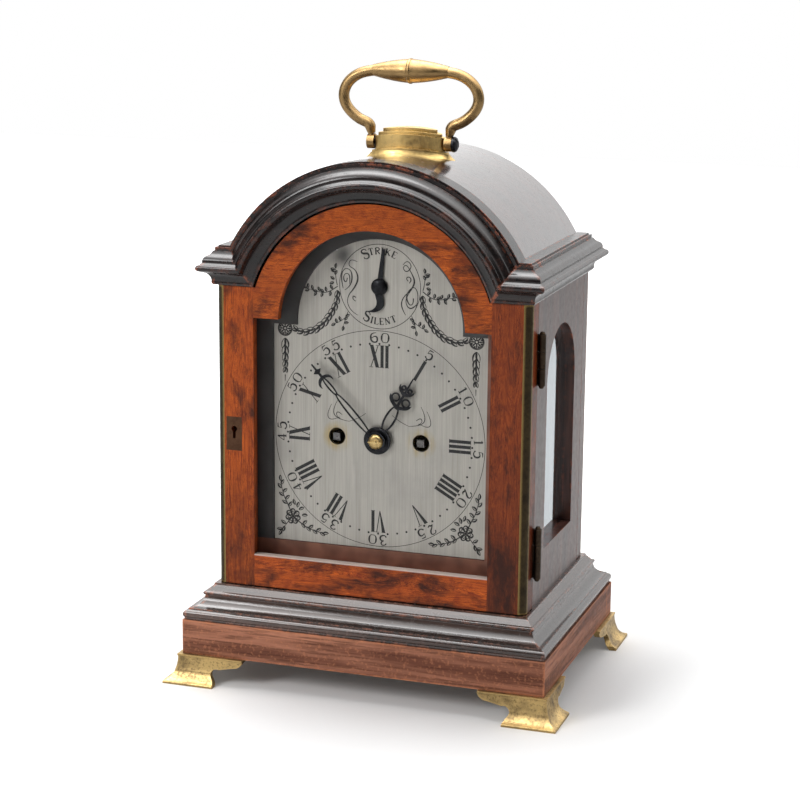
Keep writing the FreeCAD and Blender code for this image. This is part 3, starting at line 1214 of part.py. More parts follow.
minute_wheel = toothed(CANNON_TEETH, CANNON_MODULE, cannon_low, cannon_low + 1.5, 90.0 + 180.0 / CANNON_TEETH, minute_at)
minute_wheel = minute_wheel.fuse(toothed(MINUTE_LEAVES, HOUR_MODULE, cannon_low - 4.4, cannon_low,
                                         90.0, minute_at, 0.85, 1.1, 0.36))
stud = arbor_shape(minute_at, cannon_low - 5.2, S.front_plate_front + 1.5, 0.9)
minute_wheel = minute_wheel.cut(arbor_shape(minute_at, cannon_low - 10, S.front_plate_front, 0.9 + S.pin_play))
piece("minute_wheel", feature(minute_wheel.removeSplitter()))

hour_low_plane = cannon_low - 4.0
hour_wheel = toothed(HOUR_TEETH, HOUR_MODULE, hour_low_plane, hour_low_plane + 1.5, -90.0 + 180.0 / HOUR_TEETH, centre_at)
hour_wheel = hour_wheel.fuse(arbor_shape(centre_at, hour_low, hour_low_plane + 2.2, S.hour_pipe))
hour_bore = arbor_shape(centre_at, hour_low - 1, cannon_low, S.cannon_pipe + S.pin_play)
piece("hour_wheel", feature(hour_wheel.cut(hour_bore).removeSplitter()))

# Contrate wheel: its arbor runs through the plates, its teeth point to the back.
contrate_at = (0.0, S.centre + contrate_rise)
crown_line = S.back_plate_front - 12.5
CROWN_PINION = 1.3
contrate_tip = crown_line - CROWN_PINION - 0.4
CONTRATE_RADIUS = 12.4
contrate = toothed(CONTRATE_LEAVES, S.tooth_module, wheel_low - 1, wheel_low + 3.2, -90.0 + 180.0 / CONTRATE_LEAVES,
                   contrate_at, 0.85, 1.1, 0.36)
disc = arbor_shape(contrate_at, contrate_tip - 5.0, contrate_tip - 3.6, CONTRATE_RADIUS)
disc = crossed(disc, contrate_at, CONTRATE_RADIUS - 2.2, 3.0, contrate_tip - 5.0, contrate_tip - 3.6)
rim = ring(CONTRATE_RADIUS, 1.2, contrate_at, contrate_tip - 5.0, contrate_tip)
gaps = []
for index in range(CONTRATE_TEETH):
    angle = 2 * math.pi / CONTRATE_TEETH * index
    gap_start, gap_end = ((reach * math.cos(angle), contrate_at[1] + reach * math.sin(angle))
                          for reach in (CONTRATE_RADIUS - 2.0, CONTRATE_RADIUS + 1.0))
    gaps.append(taper(gap_start, gap_end, 0.5, 0.5, contrate_tip - 1.2, contrate_tip + 1))
rim = rim.cut(Part.makeCompound(gaps))
contrate = contrate.fuse([disc, rim, arbor_shape(contrate_at, S.front_plate_front, S.back_plate_back, 0.9)])
piece("contrate_wheel", feature(contrate.removeSplitter()))

# Crown wheel on its upright arbor, with a small pinion above the contrate wheel's rim.
pinion_z = contrate_at[1] + CONTRATE_RADIUS - 0.6
crown_top = S.verge - 3.4
CROWN_RADIUS = 10.0
CROWN_ARBOR = 0.7
crown = rod_shape(CROWN_ARBOR, Vector(0, crown_line, pinion_z - 7.4), Vector(0, crown_line, crown_top - 3.2))
crown = crown.fuse([rod_shape(CROWN_PINION, Vector(0, crown_line, pinion_z - 2.4), Vector(0, crown_line, pinion_z + 2.4)),
                    rod_shape(CROWN_RADIUS, Vector(0, crown_line, crown_top - 4.6), Vector(0, crown_line, crown_top - 3.4))])
crown_rim = turned(((CROWN_RADIUS - 1.1, -4.6), (CROWN_RADIUS, -4.6), (CROWN_RADIUS, 0), (CROWN_RADIUS - 1.1, 0)),
                   Vector(0, crown_line, crown_top), Vector(0, 0, 1))
gaps = []
for index in range(CROWN_TEETH):
    notch = prism(((-0.2, 1), (1.2, 1), (1.2, 0), (0.3, -2.2), (-0.2, -2.2)),
                  lambda u, v: Vector(u, crown_line + CROWN_RADIUS - 2.0, crown_top + v), Vector(0, 3.0, 0))
    notch.rotate(Vector(0, crown_line, 0), Vector(0, 0, 1), 360.0 / CROWN_TEETH * index)
    gaps.append(notch)
crown_rim = crown_rim.cut(Part.makeCompound(gaps))
piece("crown_wheel", feature(crown.fuse(crown_rim).removeSplitter()))

# Verge staff with its two pallets, its rear end carrying the pendulum rod.
rod_line = S.back_plate_back + 6.5
staff = rod_shape(0.8, Vector(0, S.front_plate_front, S.verge), Vector(0, rod_line + 4.0, S.verge))
staff = staff.fuse(rod_shape(1.3, Vector(0, S.front_plate_back + 1, S.verge), Vector(0, rod_line + 3.0, S.verge)))
for back in (-1, 1):
    at_y = crown_line + back * (CROWN_RADIUS - 0.6)
    flag = box_shape(-0.5, 0.5, at_y - 1.2, at_y + 1.2, S.verge - 3.0, S.verge)
    flag.rotate(Vector(0, at_y, S.verge), Vector(0, 1, 0), back * 45)
    staff = staff.fuse(flag)
pendulum_end = S.verge - S.pendulum_length - S.bob_radius - 4
staff = staff.fuse([rod_shape(3.2, Vector(0, rod_line - 1.2, S.verge), Vector(0, rod_line + 1.2, S.verge)),
                    rod_shape(1.0, Vector(0, rod_line, pendulum_end), Vector(0, rod_line, S.verge))])
piece("verge_pendulum", feature(staff.removeSplitter()))

bob_z = S.verge - S.pendulum_length
bob = turned(((0, -S.bob_thick / 2), (3, -S.bob_thick / 2), ((S.bob_radius * 0.72, -S.bob_thick / 3.2), (S.bob_radius, -0.6)),
              (S.bob_radius, 0.6), ((S.bob_radius * 0.72, S.bob_thick / 3.2), (3, S.bob_thick / 2)), (0, S.bob_thick / 2)),
             Vector(0, rod_line, bob_z), Vector(0, 1, 0))
bob = bob.cut(rod_shape(1.0, Vector(0, rod_line, bob_z - 30), Vector(0, rod_line, bob_z + 30)))
piece("pendulum_bob", feature(bob))

# Cocks: the pierced back cock for the verge, the potence for the crown wheel, the bell's stand and the
# minute wheel's stud.
cock_low = rod_line + 2.4
back_cock = box_shape(-15, 15, cock_low, cock_low + 2, S.verge - 5, S.verge + 7)
back_cock = back_cock.fuse([rod_shape(6.0, Vector(side * 15, cock_low, S.verge + 1), Vector(side * 15, cock_low + 2, S.verge + 1))
                            for side in (-1, 1)])
back_cock = back_cock.fuse([box_shape(side * 15 - 3, side * 15 + 3, S.back_plate_back, cock_low, S.verge + 1, S.verge + 7)
                            for side in (-1, 1)])
back_cock = back_cock.cut(rod_shape(0.8 + S.pin_play, Vector(0, cock_low - 1, S.verge), Vector(0, cock_low + 3, S.verge)))
back_cock = back_cock.cut(rod_shape(1.3 + S.pin_play, Vector(0, cock_low - 1, S.verge), Vector(0, cock_low + 0.65, S.verge)))
potence = box_shape(-4, 4, crown_line + 3.5, S.back_plate_front, pinion_z - 7, pinion_z + 7)
potence = potence.fuse([box_shape(-3, 3, crown_line - 2.4, crown_line + 3.5, pinion_z - 7, pinion_z - 4.4),
                        box_shape(-3, 3, crown_line - 2.4, crown_line + 3.5, pinion_z + 4.0, pinion_z + 6.4)])
potence = potence.cut(rod_shape(CROWN_ARBOR + S.pin_play, Vector(0, crown_line, pinion_z - 8), Vector(0, crown_line, pinion_z + 8)))
potence = potence.cut(arbor_shape(contrate_at, 0, S.back_plate_back, 3.4))
bell_z = S.centre + S.bell_rise
bell_top = bell_z + S.bell_height
bell_y = S.back_plate_front - 25
post = box_shape(20, 28, S.back_plate_front - 3.5, S.back_plate_front, S.plates_top - 24, bell_top + 6)
arm = box_shape(-2.5, 35, -3.5, 3.5, bell_top + 3, bell_top + 6)
arm.rotate(Vector(), Vector(0, 0, 1), 43.0)
arm.translate(Vector(0, bell_y, 0))
trim = box_shape(-10, 50, bell_y - 20, S.back_plate_front, bell_top, bell_top + 10)
arm = arm.common(trim)
hanger = rod_shape(1.8, Vector(0, bell_y, bell_top - 3.5), Vector(0, bell_y, bell_top + 3))
nut = rod_shape(3.6, Vector(0, bell_y, bell_top - 4.4), Vector(0, bell_y, bell_top - 2.4))
washer = rod_shape(3.6, Vector(0, bell_y, bell_top), Vector(0, bell_y, bell_top + 3))
bell_stand = post.fuse([arm, hanger, nut, washer]).removeSplitter()
piece("movement_cocks", feature(Part.makeCompound([back_cock.removeSplitter(), potence.removeSplitter(), bell_stand, stud])))

BELL_WALL = 2.4
bell_outer = S.bell_radius
bell_outline = ((1.8, S.bell_height), (6.0, S.bell_height),
                ((bell_outer * 0.72, S.bell_height * 0.8), (bell_outer * 0.86, S.bell_height * 0.36)),
                (bell_outer, 0), (bell_outer - BELL_WALL, 0),
                (bell_outer * 0.86 - BELL_WALL, S.bell_height * 0.36),
                ((bell_outer * 0.72 - 2.1, S.bell_height * 0.8 - 2.1), (6.0, S.bell_height - BELL_WALL)),
                (1.8, S.bell_height - BELL_WALL))
piece("bell", feature(turned(bell_outline, Vector(0, bell_y, bell_z), Vector(0, 0, 1))))

# The hammer turns on an arbor between the plates and rests just off the bell's mouth.
hammer_at = (-43.0, S.verge - 2)
hammer_head_x = -bell_outer - 4.2
hammer = arbor_shape(hammer_at, S.front_plate_front, S.back_plate_back, 0.9)
hammer = hammer.fuse(arbor_shape(hammer_at, bell_y - 4, bell_y + 4, 2.6))
hammer = hammer.fuse(taper(hammer_at, (hammer_head_x, bell_z + 3), 2.4, 2.0, bell_y - 1, bell_y + 1))
hammer = hammer.fuse(rod_shape(3.6, Vector(hammer_head_x - 5, bell_y, bell_z + 3), Vector(hammer_head_x + 3.7, bell_y, bell_z + 3)))
piece("bell_hammer", feature(hammer.removeSplitter()))

# The seat board spans the case sides and carries the plates, clear of the pendulum.
piece("seat_board", block("-inner_half", "inner_half", "case_front + 0.35 + mask_thick", "back_plate_back + 1",
                          "plates_bottom - 10", "plates_bottom"))

# ---------------------------------------------------------------- checks and files

DOC.recompute()
for item in DOC.Objects:
    if "Invalid" in item.State or "Error" in item.State:
        raise RuntimeError(f"{item.Name} ({item.Label}) failed: {item.State}")
for item in PIECES:
    if item.Shape.isNull() or not item.Shape.isValid() or not item.Shape.Solids:
        raise RuntimeError(f"{item.Label} has no sound solid")
os.makedirs("parts", exist_ok=True)
for item in PIECES:
    item.Shape.exportStep(f"parts/{item.Label}.step")
    box = item.Shape.BoundBox
    print(f"{item.Label:20s} {len(item.Shape.Solids):2d} {item.Shape.Volume / 1000:9.2f} cm3 "
          f"x {box.XMin:7.1f} {box.XMax:7.1f}  y {box.YMin:7.1f} {box.YMax:7.1f}  z {box.ZMin:7.1f} {box.ZMax:7.1f}")
print(len(PIECES), "pieces")
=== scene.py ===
import math

import bmesh
import bpy
from mathutils import Matrix, Vector


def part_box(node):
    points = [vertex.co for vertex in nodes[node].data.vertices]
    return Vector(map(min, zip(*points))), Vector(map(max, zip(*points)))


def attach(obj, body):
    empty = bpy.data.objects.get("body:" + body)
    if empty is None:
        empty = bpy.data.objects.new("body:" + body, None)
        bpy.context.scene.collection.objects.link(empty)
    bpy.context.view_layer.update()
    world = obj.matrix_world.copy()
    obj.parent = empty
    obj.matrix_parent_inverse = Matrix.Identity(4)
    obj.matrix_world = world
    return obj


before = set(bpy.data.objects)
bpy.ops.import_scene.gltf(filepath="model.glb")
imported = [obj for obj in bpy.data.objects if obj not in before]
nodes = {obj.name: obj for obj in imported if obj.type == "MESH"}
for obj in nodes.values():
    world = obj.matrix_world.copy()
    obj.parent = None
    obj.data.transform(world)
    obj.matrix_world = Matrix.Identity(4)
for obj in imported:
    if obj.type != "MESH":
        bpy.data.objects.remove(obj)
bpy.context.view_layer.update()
scene = bpy.context.scene
scene.view_settings.view_transform = "Standard"

# ---------------------------------------------------------------- studio
# The clock stands on a white sweep. One soft lamp lights its front from the upper left, one hangs
# over it, and one behind it on the right draws the long reflection along the roof.

TABLE_SIZE = 6.0
CAMERA_TARGET = Vector((-0.004685, 0.00295, 0.171587))
CAMERA_DISTANCE = 1.370284
CAMERA_AZIMUTH = 0.324118
CAMERA_HEIGHT = 0.218666
CAMERA_ROLL = -0.00932
CAMERA_LENS = 96.887
FILL_LIGHT = 0.36
MIRRORED_DARK = 0.05
MIRRORED_CEILING = 5.5
MIRRORED_BACK = 1.2


def node(material, kind, inputs=None, **settings):
    """Adds a shader node, sets it up, and fills or links its sockets."""
    made = material.node_tree.nodes.new("ShaderNode" + kind)
    for name, value in settings.items():
        setattr(made, name, value)
    for key, value in (inputs or {}).items():
        if isinstance(value, bpy.types.NodeSocket):
            material.node_tree.links.new(value, made.inputs[key])
        else:
            made.inputs[key].default_value = value
    return made


def blank_material(name):
    """A material with a bare principled shader."""
    made = bpy.data.materials.new(name)
    made.use_nodes = True
    return made, made.node_tree.nodes["Principled BSDF"]


def scaled(material, factor, low, high, floor=0.0, ceiling=1.0):
    """Brings a value from one range to another, and holds it there."""
    made = node(material, "MapRange", {"Value": factor, "From Min": low, "From Max": high,
                                       "To Min": floor, "To Max": ceiling}, clamp=True)
    return made.outputs["Result"]


def calc(material, operation, first, second=0.0):
    """One step of arithmetic."""
    made = node(material, "Math", {0: first, 1: second}, operation=operation)
    return made.outputs[0]


def area_lamp(name, place, aim, width, height, power):
    """A soft box that faces a point."""
    lamp = bpy.data.lights.new(name, "AREA")
    lamp.shape = "RECTANGLE"
    lamp.size = width
    lamp.size_y = height
    lamp.energy = power
    holder = bpy.data.objects.new(name, lamp)
    holder.location = place
    holder.rotation_euler = (Vector(aim) - Vector(place)).to_track_quat("-Z", "Y").to_euler()
    scene.collection.objects.link(holder)


area_lamp("lamp_key", (-1.2, -1.6, 1.2), (0, 0, 0.18), 0.8, 0.8, 27)
area_lamp("lamp_over", (-0.45, 0.32, 1.8), (0, 0, 0.2), 1.3, 1.1, 26)
area_lamp("lamp_roof", (1.3, 0.9, 1.3), (0, 0, 0.28), 1.2, 0.9, 7)

# Mirrored rays see a bright ceiling and back wall in a dark room, which models the mouldings.
world = bpy.data.worlds.new("studio_light")
world.use_nodes = True
scene.world = world
background = world.node_tree.nodes["Background"]
light_path = node(world, "LightPath")
way = node(world, "SeparateXYZ", {0: node(world, "TexCoord").outputs["Generated"]})
mirrored = calc(world, "MAXIMUM",
                scaled(world, way.outputs["Z"], 0.55, 0.9, MIRRORED_DARK, MIRRORED_CEILING),
                scaled(world, way.outputs["Y"], 0.1, 0.8, MIRRORED_DARK, MIRRORED_BACK))
glossy = node(world, "Mix", {0: light_path.outputs["Is Glossy Ray"], 2: FILL_LIGHT, 3: mirrored},
              data_type="FLOAT")
seen = calc(world, "MAXIMUM", light_path.outputs["Is Camera Ray"],
            light_path.outputs["Is Transmission Ray"])
strength = node(world, "Mix", {0: seen, 2: glossy.outputs[0], 3: 1.0}, data_type="FLOAT")
background.inputs["Color"].default_value = (1, 1, 1, 1)
world.node_tree.links.new(strength.outputs[0], background.inputs["Strength"])

# The sweep glows to the camera more the further out it lies, so its horizon stays white and the
# shadow under the clock stays dark.
table_mesh = bmesh.new()
bmesh.ops.create_grid(table_mesh, x_segments=1, y_segments=1, size=TABLE_SIZE / 2)
table_data = bpy.data.meshes.new("white_sweep")
table_mesh.to_mesh(table_data)
table_mesh.free()
table = bpy.data.objects.new("white_sweep", table_data)
scene.collection.objects.link(table)
table_paper, paper = blank_material("white_paper")
paper.inputs["Base Color"].default_value = (0.82, 0.82, 0.82, 1)
paper.inputs["Roughness"].default_value = 0.75
paper.inputs["Specular IOR Level"].default_value = 0.2
paper.inputs["Emission Color"].default_value = (1, 1, 1, 1)
paper_path = node(table_paper, "LightPath")
paper_seen = calc(table_paper, "MAXIMUM", paper_path.outputs["Is Camera Ray"],
                  paper_path.outputs["Is Transmission Ray"])
paper_reach = node(table_paper, "VectorMath", {0: node(table_paper, "TexCoord").outputs["Object"]},
                   operation="LENGTH")
paper_glow = calc(table_paper, "ADD",
                  scaled(table_paper, paper_reach.outputs["Value"], 0.1, 0.24, 0.03, 0.3),
                  scaled(table_paper, paper_reach.outputs["Value"], 0.24, 0.8, 0.0, 0.7))
table_paper.node_tree.links.new(calc(table_paper, "MULTIPLY", paper_seen, paper_glow),
                                paper.inputs["Emission Strength"])
table_data.materials.append(table_paper)

eye_back = Vector((math.sin(CAMERA_AZIMUTH) * math.cos(CAMERA_HEIGHT),
                   -math.cos(CAMERA_AZIMUTH) * math.cos(CAMERA_HEIGHT), math.sin(CAMERA_HEIGHT)))
eye_right = Vector((math.cos(CAMERA_AZIMUTH), math.sin(CAMERA_AZIMUTH), 0))
eye_up = eye_back.cross(eye_right)
turned_right = math.cos(CAMERA_ROLL) * eye_right - math.sin(CAMERA_ROLL) * eye_up
turned_up = math.sin(CAMERA_ROLL) * eye_right + math.cos(CAMERA_ROLL) * eye_up
lens = bpy.data.cameras.new("camera")
lens.sensor_width = 36
lens.lens = CAMERA_LENS
camera = bpy.data.objects.new("camera", lens)
place = Matrix((turned_right, turned_up, eye_back)).transposed().to_4x4()
place.translation = CAMERA_TARGET + eye_back * CAMERA_DISTANCE
camera.matrix_world = place
scene.collection.objects.link(camera)
scene.camera = camera


# ---------------------------------------------------------------- door wood
# The front door is figured mahogany, orange under an old polish that has gone dark in patches. Its
# stiles are cut upright; the bottom rail and the arch rail lie across, so their joints show.

LONG_GRAIN = 0.07
LONG_STAIN = 0.45


def mixed(material, factor, first, second, blend="MIX"):
    """Blends two colours."""
    made = node(material, "Mix", data_type="RGBA", blend_type=blend)
    for index, value in ((0, factor), (6, first), (7, second)):
        if isinstance(value, bpy.types.NodeSocket):
            material.node_tree.links.new(value, made.inputs[index])
        elif index == 0:
            made.inputs[index].default_value = value
        else:
            made.inputs[index].default_value = (*value, 1)
    return made.outputs[2]


def dress(finish, *names):
    """Gives CAD nodes their finish."""
    for name in names:
        slots = nodes[name].material_slots
        if not slots:
            nodes[name].data.materials.append(finish)
        for slot in nodes[name].material_slots:
            slot.material = finish


def figured_wood(name, along, light, middle, dark, figure=1.0, stain=0.5, shine=0.3, offset=0.0,
                 shadow=None, coat=0.12, highlight_top=None):
    """Mahogany with its grain along an axis: figure, pores, dark stain and old polish.

    A painted shadow darkens the wood along an axis, and a painted highlight pales its top edge."""
    made, shader = blank_material(name)
    point = node(made, "TexCoord").outputs["Object"]
    stretch = [1.0, 1.0, 1.0]
    stretch["xyz".index(along)] = LONG_GRAIN
    laid = node(made, "Mapping", {"Vector": point, "Location": (offset, offset * 0.7, offset * 0.3),
                                  "Scale": stretch})
    bend = node(made, "TexNoise", {"Vector": laid.outputs[0], "Scale": 22.0, "Detail": 3.0,
                                   "Roughness": 0.55})
    flow = node(made, "VectorMath", {0: bend.outputs["Color"], 1: bend.outputs["Color"], 2: laid.outputs[0]},
                operation="MULTIPLY_ADD")
    wide = node(made, "TexNoise", {"Vector": flow.outputs[0], "Scale": 150.0 * figure, "Detail": 5.0,
                                   "Roughness": 0.62, "Distortion": 0.25})
    fine = node(made, "TexNoise", {"Vector": flow.outputs[0], "Scale": 900.0, "Detail": 3.0,
                                   "Roughness": 0.7})
    cross = node(made, "TexNoise", {"Vector": point, "Scale": 115.0, "Detail": 4.0, "Roughness": 0.6})
    loose = [1.0, 1.0, 1.0]
    loose["xyz".index(along)] = LONG_STAIN
    broad = node(made, "Mapping", {"Vector": point, "Location": (offset * 3, 0, offset), "Scale": loose})
    patch = node(made, "TexNoise", {"Vector": broad.outputs[0], "Scale": 95.0, "Detail": 7.0,
                                    "Roughness": 0.62, "Distortion": 0.4})
    body = mixed(made, scaled(made, wide.outputs["Fac"], 0.36, 0.6), middle, light)
    body = mixed(made, scaled(made, cross.outputs["Fac"], 0.52, 0.66, 0.0, 0.6), body, middle)
    pores = scaled(made, fine.outputs["Fac"], 0.5, 0.64, 0.0, 0.9)
    body = mixed(made, pores, body, dark)
    area = node(made, "TexNoise", {"Vector": broad.outputs[0], "Scale": 17.0, "Detail": 2.0,
                                   "Roughness": 0.5})
    spread = calc(made, "ADD", calc(made, "MULTIPLY", patch.outputs["Fac"], 0.62),
                  calc(made, "MULTIPLY", area.outputs["Fac"], 0.38))
    stain_and_shadow = scaled(made, spread, 0.535 - 0.1 * stain, 0.65 - 0.09 * stain, 0.0, 0.9)
    # Painted shadow: the wood is darkened towards one end along an axis, merged here with the dark stain.
    if shadow:
        where, start, end, amount = shadow
        split = node(made, "SeparateXYZ", {0: point})
        reach = scaled(made, split.outputs[where], start, end, 0.0, amount)
        rough_edge = scaled(made, patch.outputs["Fac"], 0.34, 0.62, 0.2, 1.0)
        stain_and_shadow = calc(made, "MAXIMUM", stain_and_shadow, calc(made, "MULTIPLY", reach, rough_edge))
    body = mixed(made, stain_and_shadow, body, dark)
    # Painted shade: the wood is darkened where other parts come close, in corners and creases.
    close = node(made, "AmbientOcclusion", {"Distance": 0.004}, samples=6, only_local=False)
    crease_shade = scaled(made, close.outputs["AO"], 0.35, 0.75, 0.75, 0.0)
    body = mixed(made, crease_shade, body, tuple(channel * 0.35 for channel in dark))
    # Painted highlight: a pale band along the top edge stands for the light caught by the rail's upper arris.
    if highlight_top:
        upright = node(made, "SeparateXYZ", {0: point})
        body = mixed(made, scaled(made, upright.outputs["Z"], highlight_top - 0.0009, highlight_top - 0.0004, 0.0, 0.85), body,
                     (0.55, 0.47, 0.42))
    made.node_tree.links.new(body, shader.inputs["Base Color"])
    made.node_tree.links.new(scaled(made, cross.outputs["Fac"], 0.2, 0.8, shine, shine + 0.16),
                             shader.inputs["Roughness"])
    shader.inputs["Coat Weight"].default_value = coat
    shader.inputs["Coat Roughness"].default_value = 0.13
    shader.inputs["Specular IOR Level"].default_value = 0.1
    bump = node(made, "Bump", {"Strength": 0.12, "Distance": 0.0003, "Height": fine.outputs["Fac"]})
    made.node_tree.links.new(bump.outputs[0], shader.inputs["Normal"])
    return made


ORANGE = (0.5, 0.098, 0.012)
RED_BROWN = (0.19, 0.029, 0.006)
NEAR_BLACK = (0.02, 0.007, 0.005)
dress(figured_wood("door_stile_left", "z", ORANGE, RED_BROWN, NEAR_BLACK, 1.0, 0.3, 0.28, 0.31,
                   ("Z", 0.15, 0.07, 0.95)), "front_stile_left")
dress(figured_wood("door_stile_right", "z", (0.28, 0.055, 0.011), (0.13, 0.022, 0.007), NEAR_BLACK,
                   1.1, 0.75, 0.28, 1.7, ("Z", 0.17, 0.09, 0.9)), "front_stile_right")
dress(figured_wood("door_bottom_rail", "x", (0.56, 0.108, 0.014), (0.22, 0.034, 0.008), NEAR_BLACK,
                   1.1, 0.7, 0.28, 0.9, highlight_top=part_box("front_bottom_rail")[1].z), "front_bottom_rail")
dress(figured_wood("door_arch_rail", "x", (0.48, 0.1, 0.013), (0.19, 0.031, 0.007), (0.026, 0.008, 0.005),
                   1.3, 0.5, 0.28, 2.3), "front_arch_rail")

# ---------------------------------------------------------------- case sides and plinth
# The sides and the mitred plinth boards are plain mahogany gone purple-brown, with straight grain.
# The plinth's arrises are rubbed through to the red wood. The base and seat boards are plain oak.

STRAIGHT_GRAIN = 0.05


def plain_wood(name, along, light, dark, rubbed, wear=0.6, shine=0.3, coat=0.3, speckle=0.0,
               reach=0.0016, pore=0.6, gloss=0.4):
    """Dark wood with rubbed arrises, its grain along an axis or round a mitred frame."""
    made, shader = blank_material(name)
    place = node(made, "TexCoord")
    point = place.outputs["Object"]
    if along == "round":
        facing = node(made, "SeparateXYZ", {0: place.outputs["Normal"]})
        sideways = calc(made, "GREATER_THAN", calc(made, "ABSOLUTE", facing.outputs["X"]),
                        calc(made, "ABSOLUTE", facing.outputs["Y"]))
        stretch = node(made, "CombineXYZ", {"X": scaled(made, sideways, 0.0, 1.0, STRAIGHT_GRAIN, 1.0),
                                            "Y": scaled(made, sideways, 0.0, 1.0, 1.0, STRAIGHT_GRAIN),
                                            "Z": 1.0})
        laid = node(made, "VectorMath", {0: point, 1: stretch.outputs[0]}, operation="MULTIPLY")
    else:
        stretch = [1.0, 1.0, 1.0]
        stretch["xyz".index(along)] = STRAIGHT_GRAIN
        laid = node(made, "Mapping", {"Vector": point, "Scale": stretch})
    wide = node(made, "TexNoise", {"Vector": laid.outputs[0], "Scale": 95.0, "Detail": 6.0, "Roughness": 0.6,
                                   "Distortion": 0.3})
    fine = node(made, "TexNoise", {"Vector": laid.outputs[0], "Scale": 750.0, "Detail": 2.0,
                                   "Roughness": 0.6})
    patch = node(made, "TexNoise", {"Vector": point, "Scale": 30.0, "Detail": 6.0, "Roughness": 0.65})
    body = mixed(made, scaled(made, wide.outputs["Fac"], 0.4, 0.6), dark, light)
    body = mixed(made, scaled(made, fine.outputs["Fac"], 0.5, 0.66, 0.0, pore), body,
                 tuple(channel * 0.4 for channel in dark))
    body = mixed(made, scaled(made, patch.outputs["Fac"], 0.5, 0.75, 0.0, 0.5), body, dark)
    arris = node(made, "AmbientOcclusion", {"Distance": reach}, samples=6, inside=True, only_local=True)
    chips = node(made, "TexNoise", {"Vector": point, "Scale": 210.0, "Detail": 5.0, "Roughness": 0.7})
    edge = scaled(made, arris.outputs["AO"], 0.93, 0.62)
    worn = calc(made, "MULTIPLY", edge,
                scaled(made, chips.outputs["Fac"], 0.62 - 0.3 * wear, 0.78 - 0.3 * wear))
    worn = calc(made, "MULTIPLY", worn, scaled(made, patch.outputs["Fac"], 0.36, 0.56, 0.25, 1.0))
    body = mixed(made, calc(made, "MULTIPLY", worn, 0.9), body, rubbed)
    if speckle:
        flecks = node(made, "TexNoise", {"Vector": point, "Scale": 520.0, "Detail": 3.0, "Roughness": 0.6})
        body = mixed(made, scaled(made, flecks.outputs["Fac"], 0.54, 0.66, 0.0, speckle), body, rubbed)
    # Painted shade: the wood is darkened where other parts come close, in corners and recesses.
    close = node(made, "AmbientOcclusion", {"Distance": 0.005}, samples=6)
    body = mixed(made, scaled(made, close.outputs["AO"], 0.3, 0.8, 0.8, 0.0), body,
                 tuple(channel * 0.3 for channel in dark))
    made.node_tree.links.new(body, shader.inputs["Base Color"])
    dulled = calc(made, "ADD", scaled(made, chips.outputs["Fac"], 0.3, 0.7, shine, shine + 0.14),
                  calc(made, "MULTIPLY", worn, 0.15))
    made.node_tree.links.new(dulled, shader.inputs["Roughness"])
    shader.inputs["Coat Weight"].default_value = coat
    shader.inputs["Coat Roughness"].default_value = 0.12
    shader.inputs["Specular IOR Level"].default_value = gloss
    bump = node(made, "Bump", {"Strength": 0.1, "Distance": 0.0003, "Height": fine.outputs["Fac"]})
    made.node_tree.links.new(bump.outputs[0], shader.inputs["Normal"])
    return made


dress(plain_wood("side_mahogany", "z", (0.08, 0.03, 0.021), (0.034, 0.013, 0.01), (0.3, 0.07, 0.03),
                 0.5, 0.26, coat=0.15, gloss=0.36), "case_side_left", "case_side_right")
dress(plain_wood("plinth_mahogany", "round", (0.42, 0.18, 0.11), (0.14, 0.052, 0.032), (0.52, 0.2, 0.1),
                 0.85, 0.4, speckle=0.35, coat=0.0, gloss=0.08), "plinth_boards")
dress(plain_wood("carcase_oak", "x", (0.2, 0.12, 0.06), (0.1, 0.055, 0.03), (0.2, 0.12, 0.06), 0.2, 0.55,
                 coat=0.0), "base_board", "seat_board")

# ---------------------------------------------------------------- dark mouldings and roof
# Cornice, arch and base mouldings are stained almost black and polished. The base moulding has
# been rubbed the most and has gone brown, and the beads are worn through to red-orange wood. The
# roof is one bent board with a deep brown gloss.

dress(plain_wood("ebonised_moulding", "round", (0.018, 0.011, 0.01), (0.007, 0.0055, 0.0055),
                 (0.36, 0.085, 0.03), 0.5, 0.17, coat=0.2, reach=0.0018, gloss=0.32),
      "cornice_mouldings", "arch_moulding")
dress(plain_wood("rubbed_moulding", "round", (0.075, 0.044, 0.035), (0.024, 0.015, 0.012),
                 (0.38, 0.11, 0.045), 0.55, 0.17, coat=0.55, reach=0.0018, gloss=0.45), "base_mouldings")
dress(plain_wood("roof_veneer", "x", (0.06, 0.022, 0.016), (0.024, 0.01, 0.008), (0.2, 0.05, 0.02), 0.4, 0.16,
                 coat=1.0, pore=0.3), "roof_shell", "rear_arch_board")

# ---------------------------------------------------------------- rear door
# A plain straight-grained mahogany frame with an arched head, glazed like the front door and hung
# at the back of the case.

dress(plain_wood("rear_door_mahogany", "z", (0.1, 0.033, 0.022), (0.045, 0.016, 0.012), (0.3, 0.07, 0.03),
                 0.5, 0.3), "rear_door_frame")

# ---------------------------------------------------------------- painted mask
# The board that frames the dial is painted charcoal, matt and a little dusty. The ledge under the
# dial and the reveal at its right show bare brown wood.

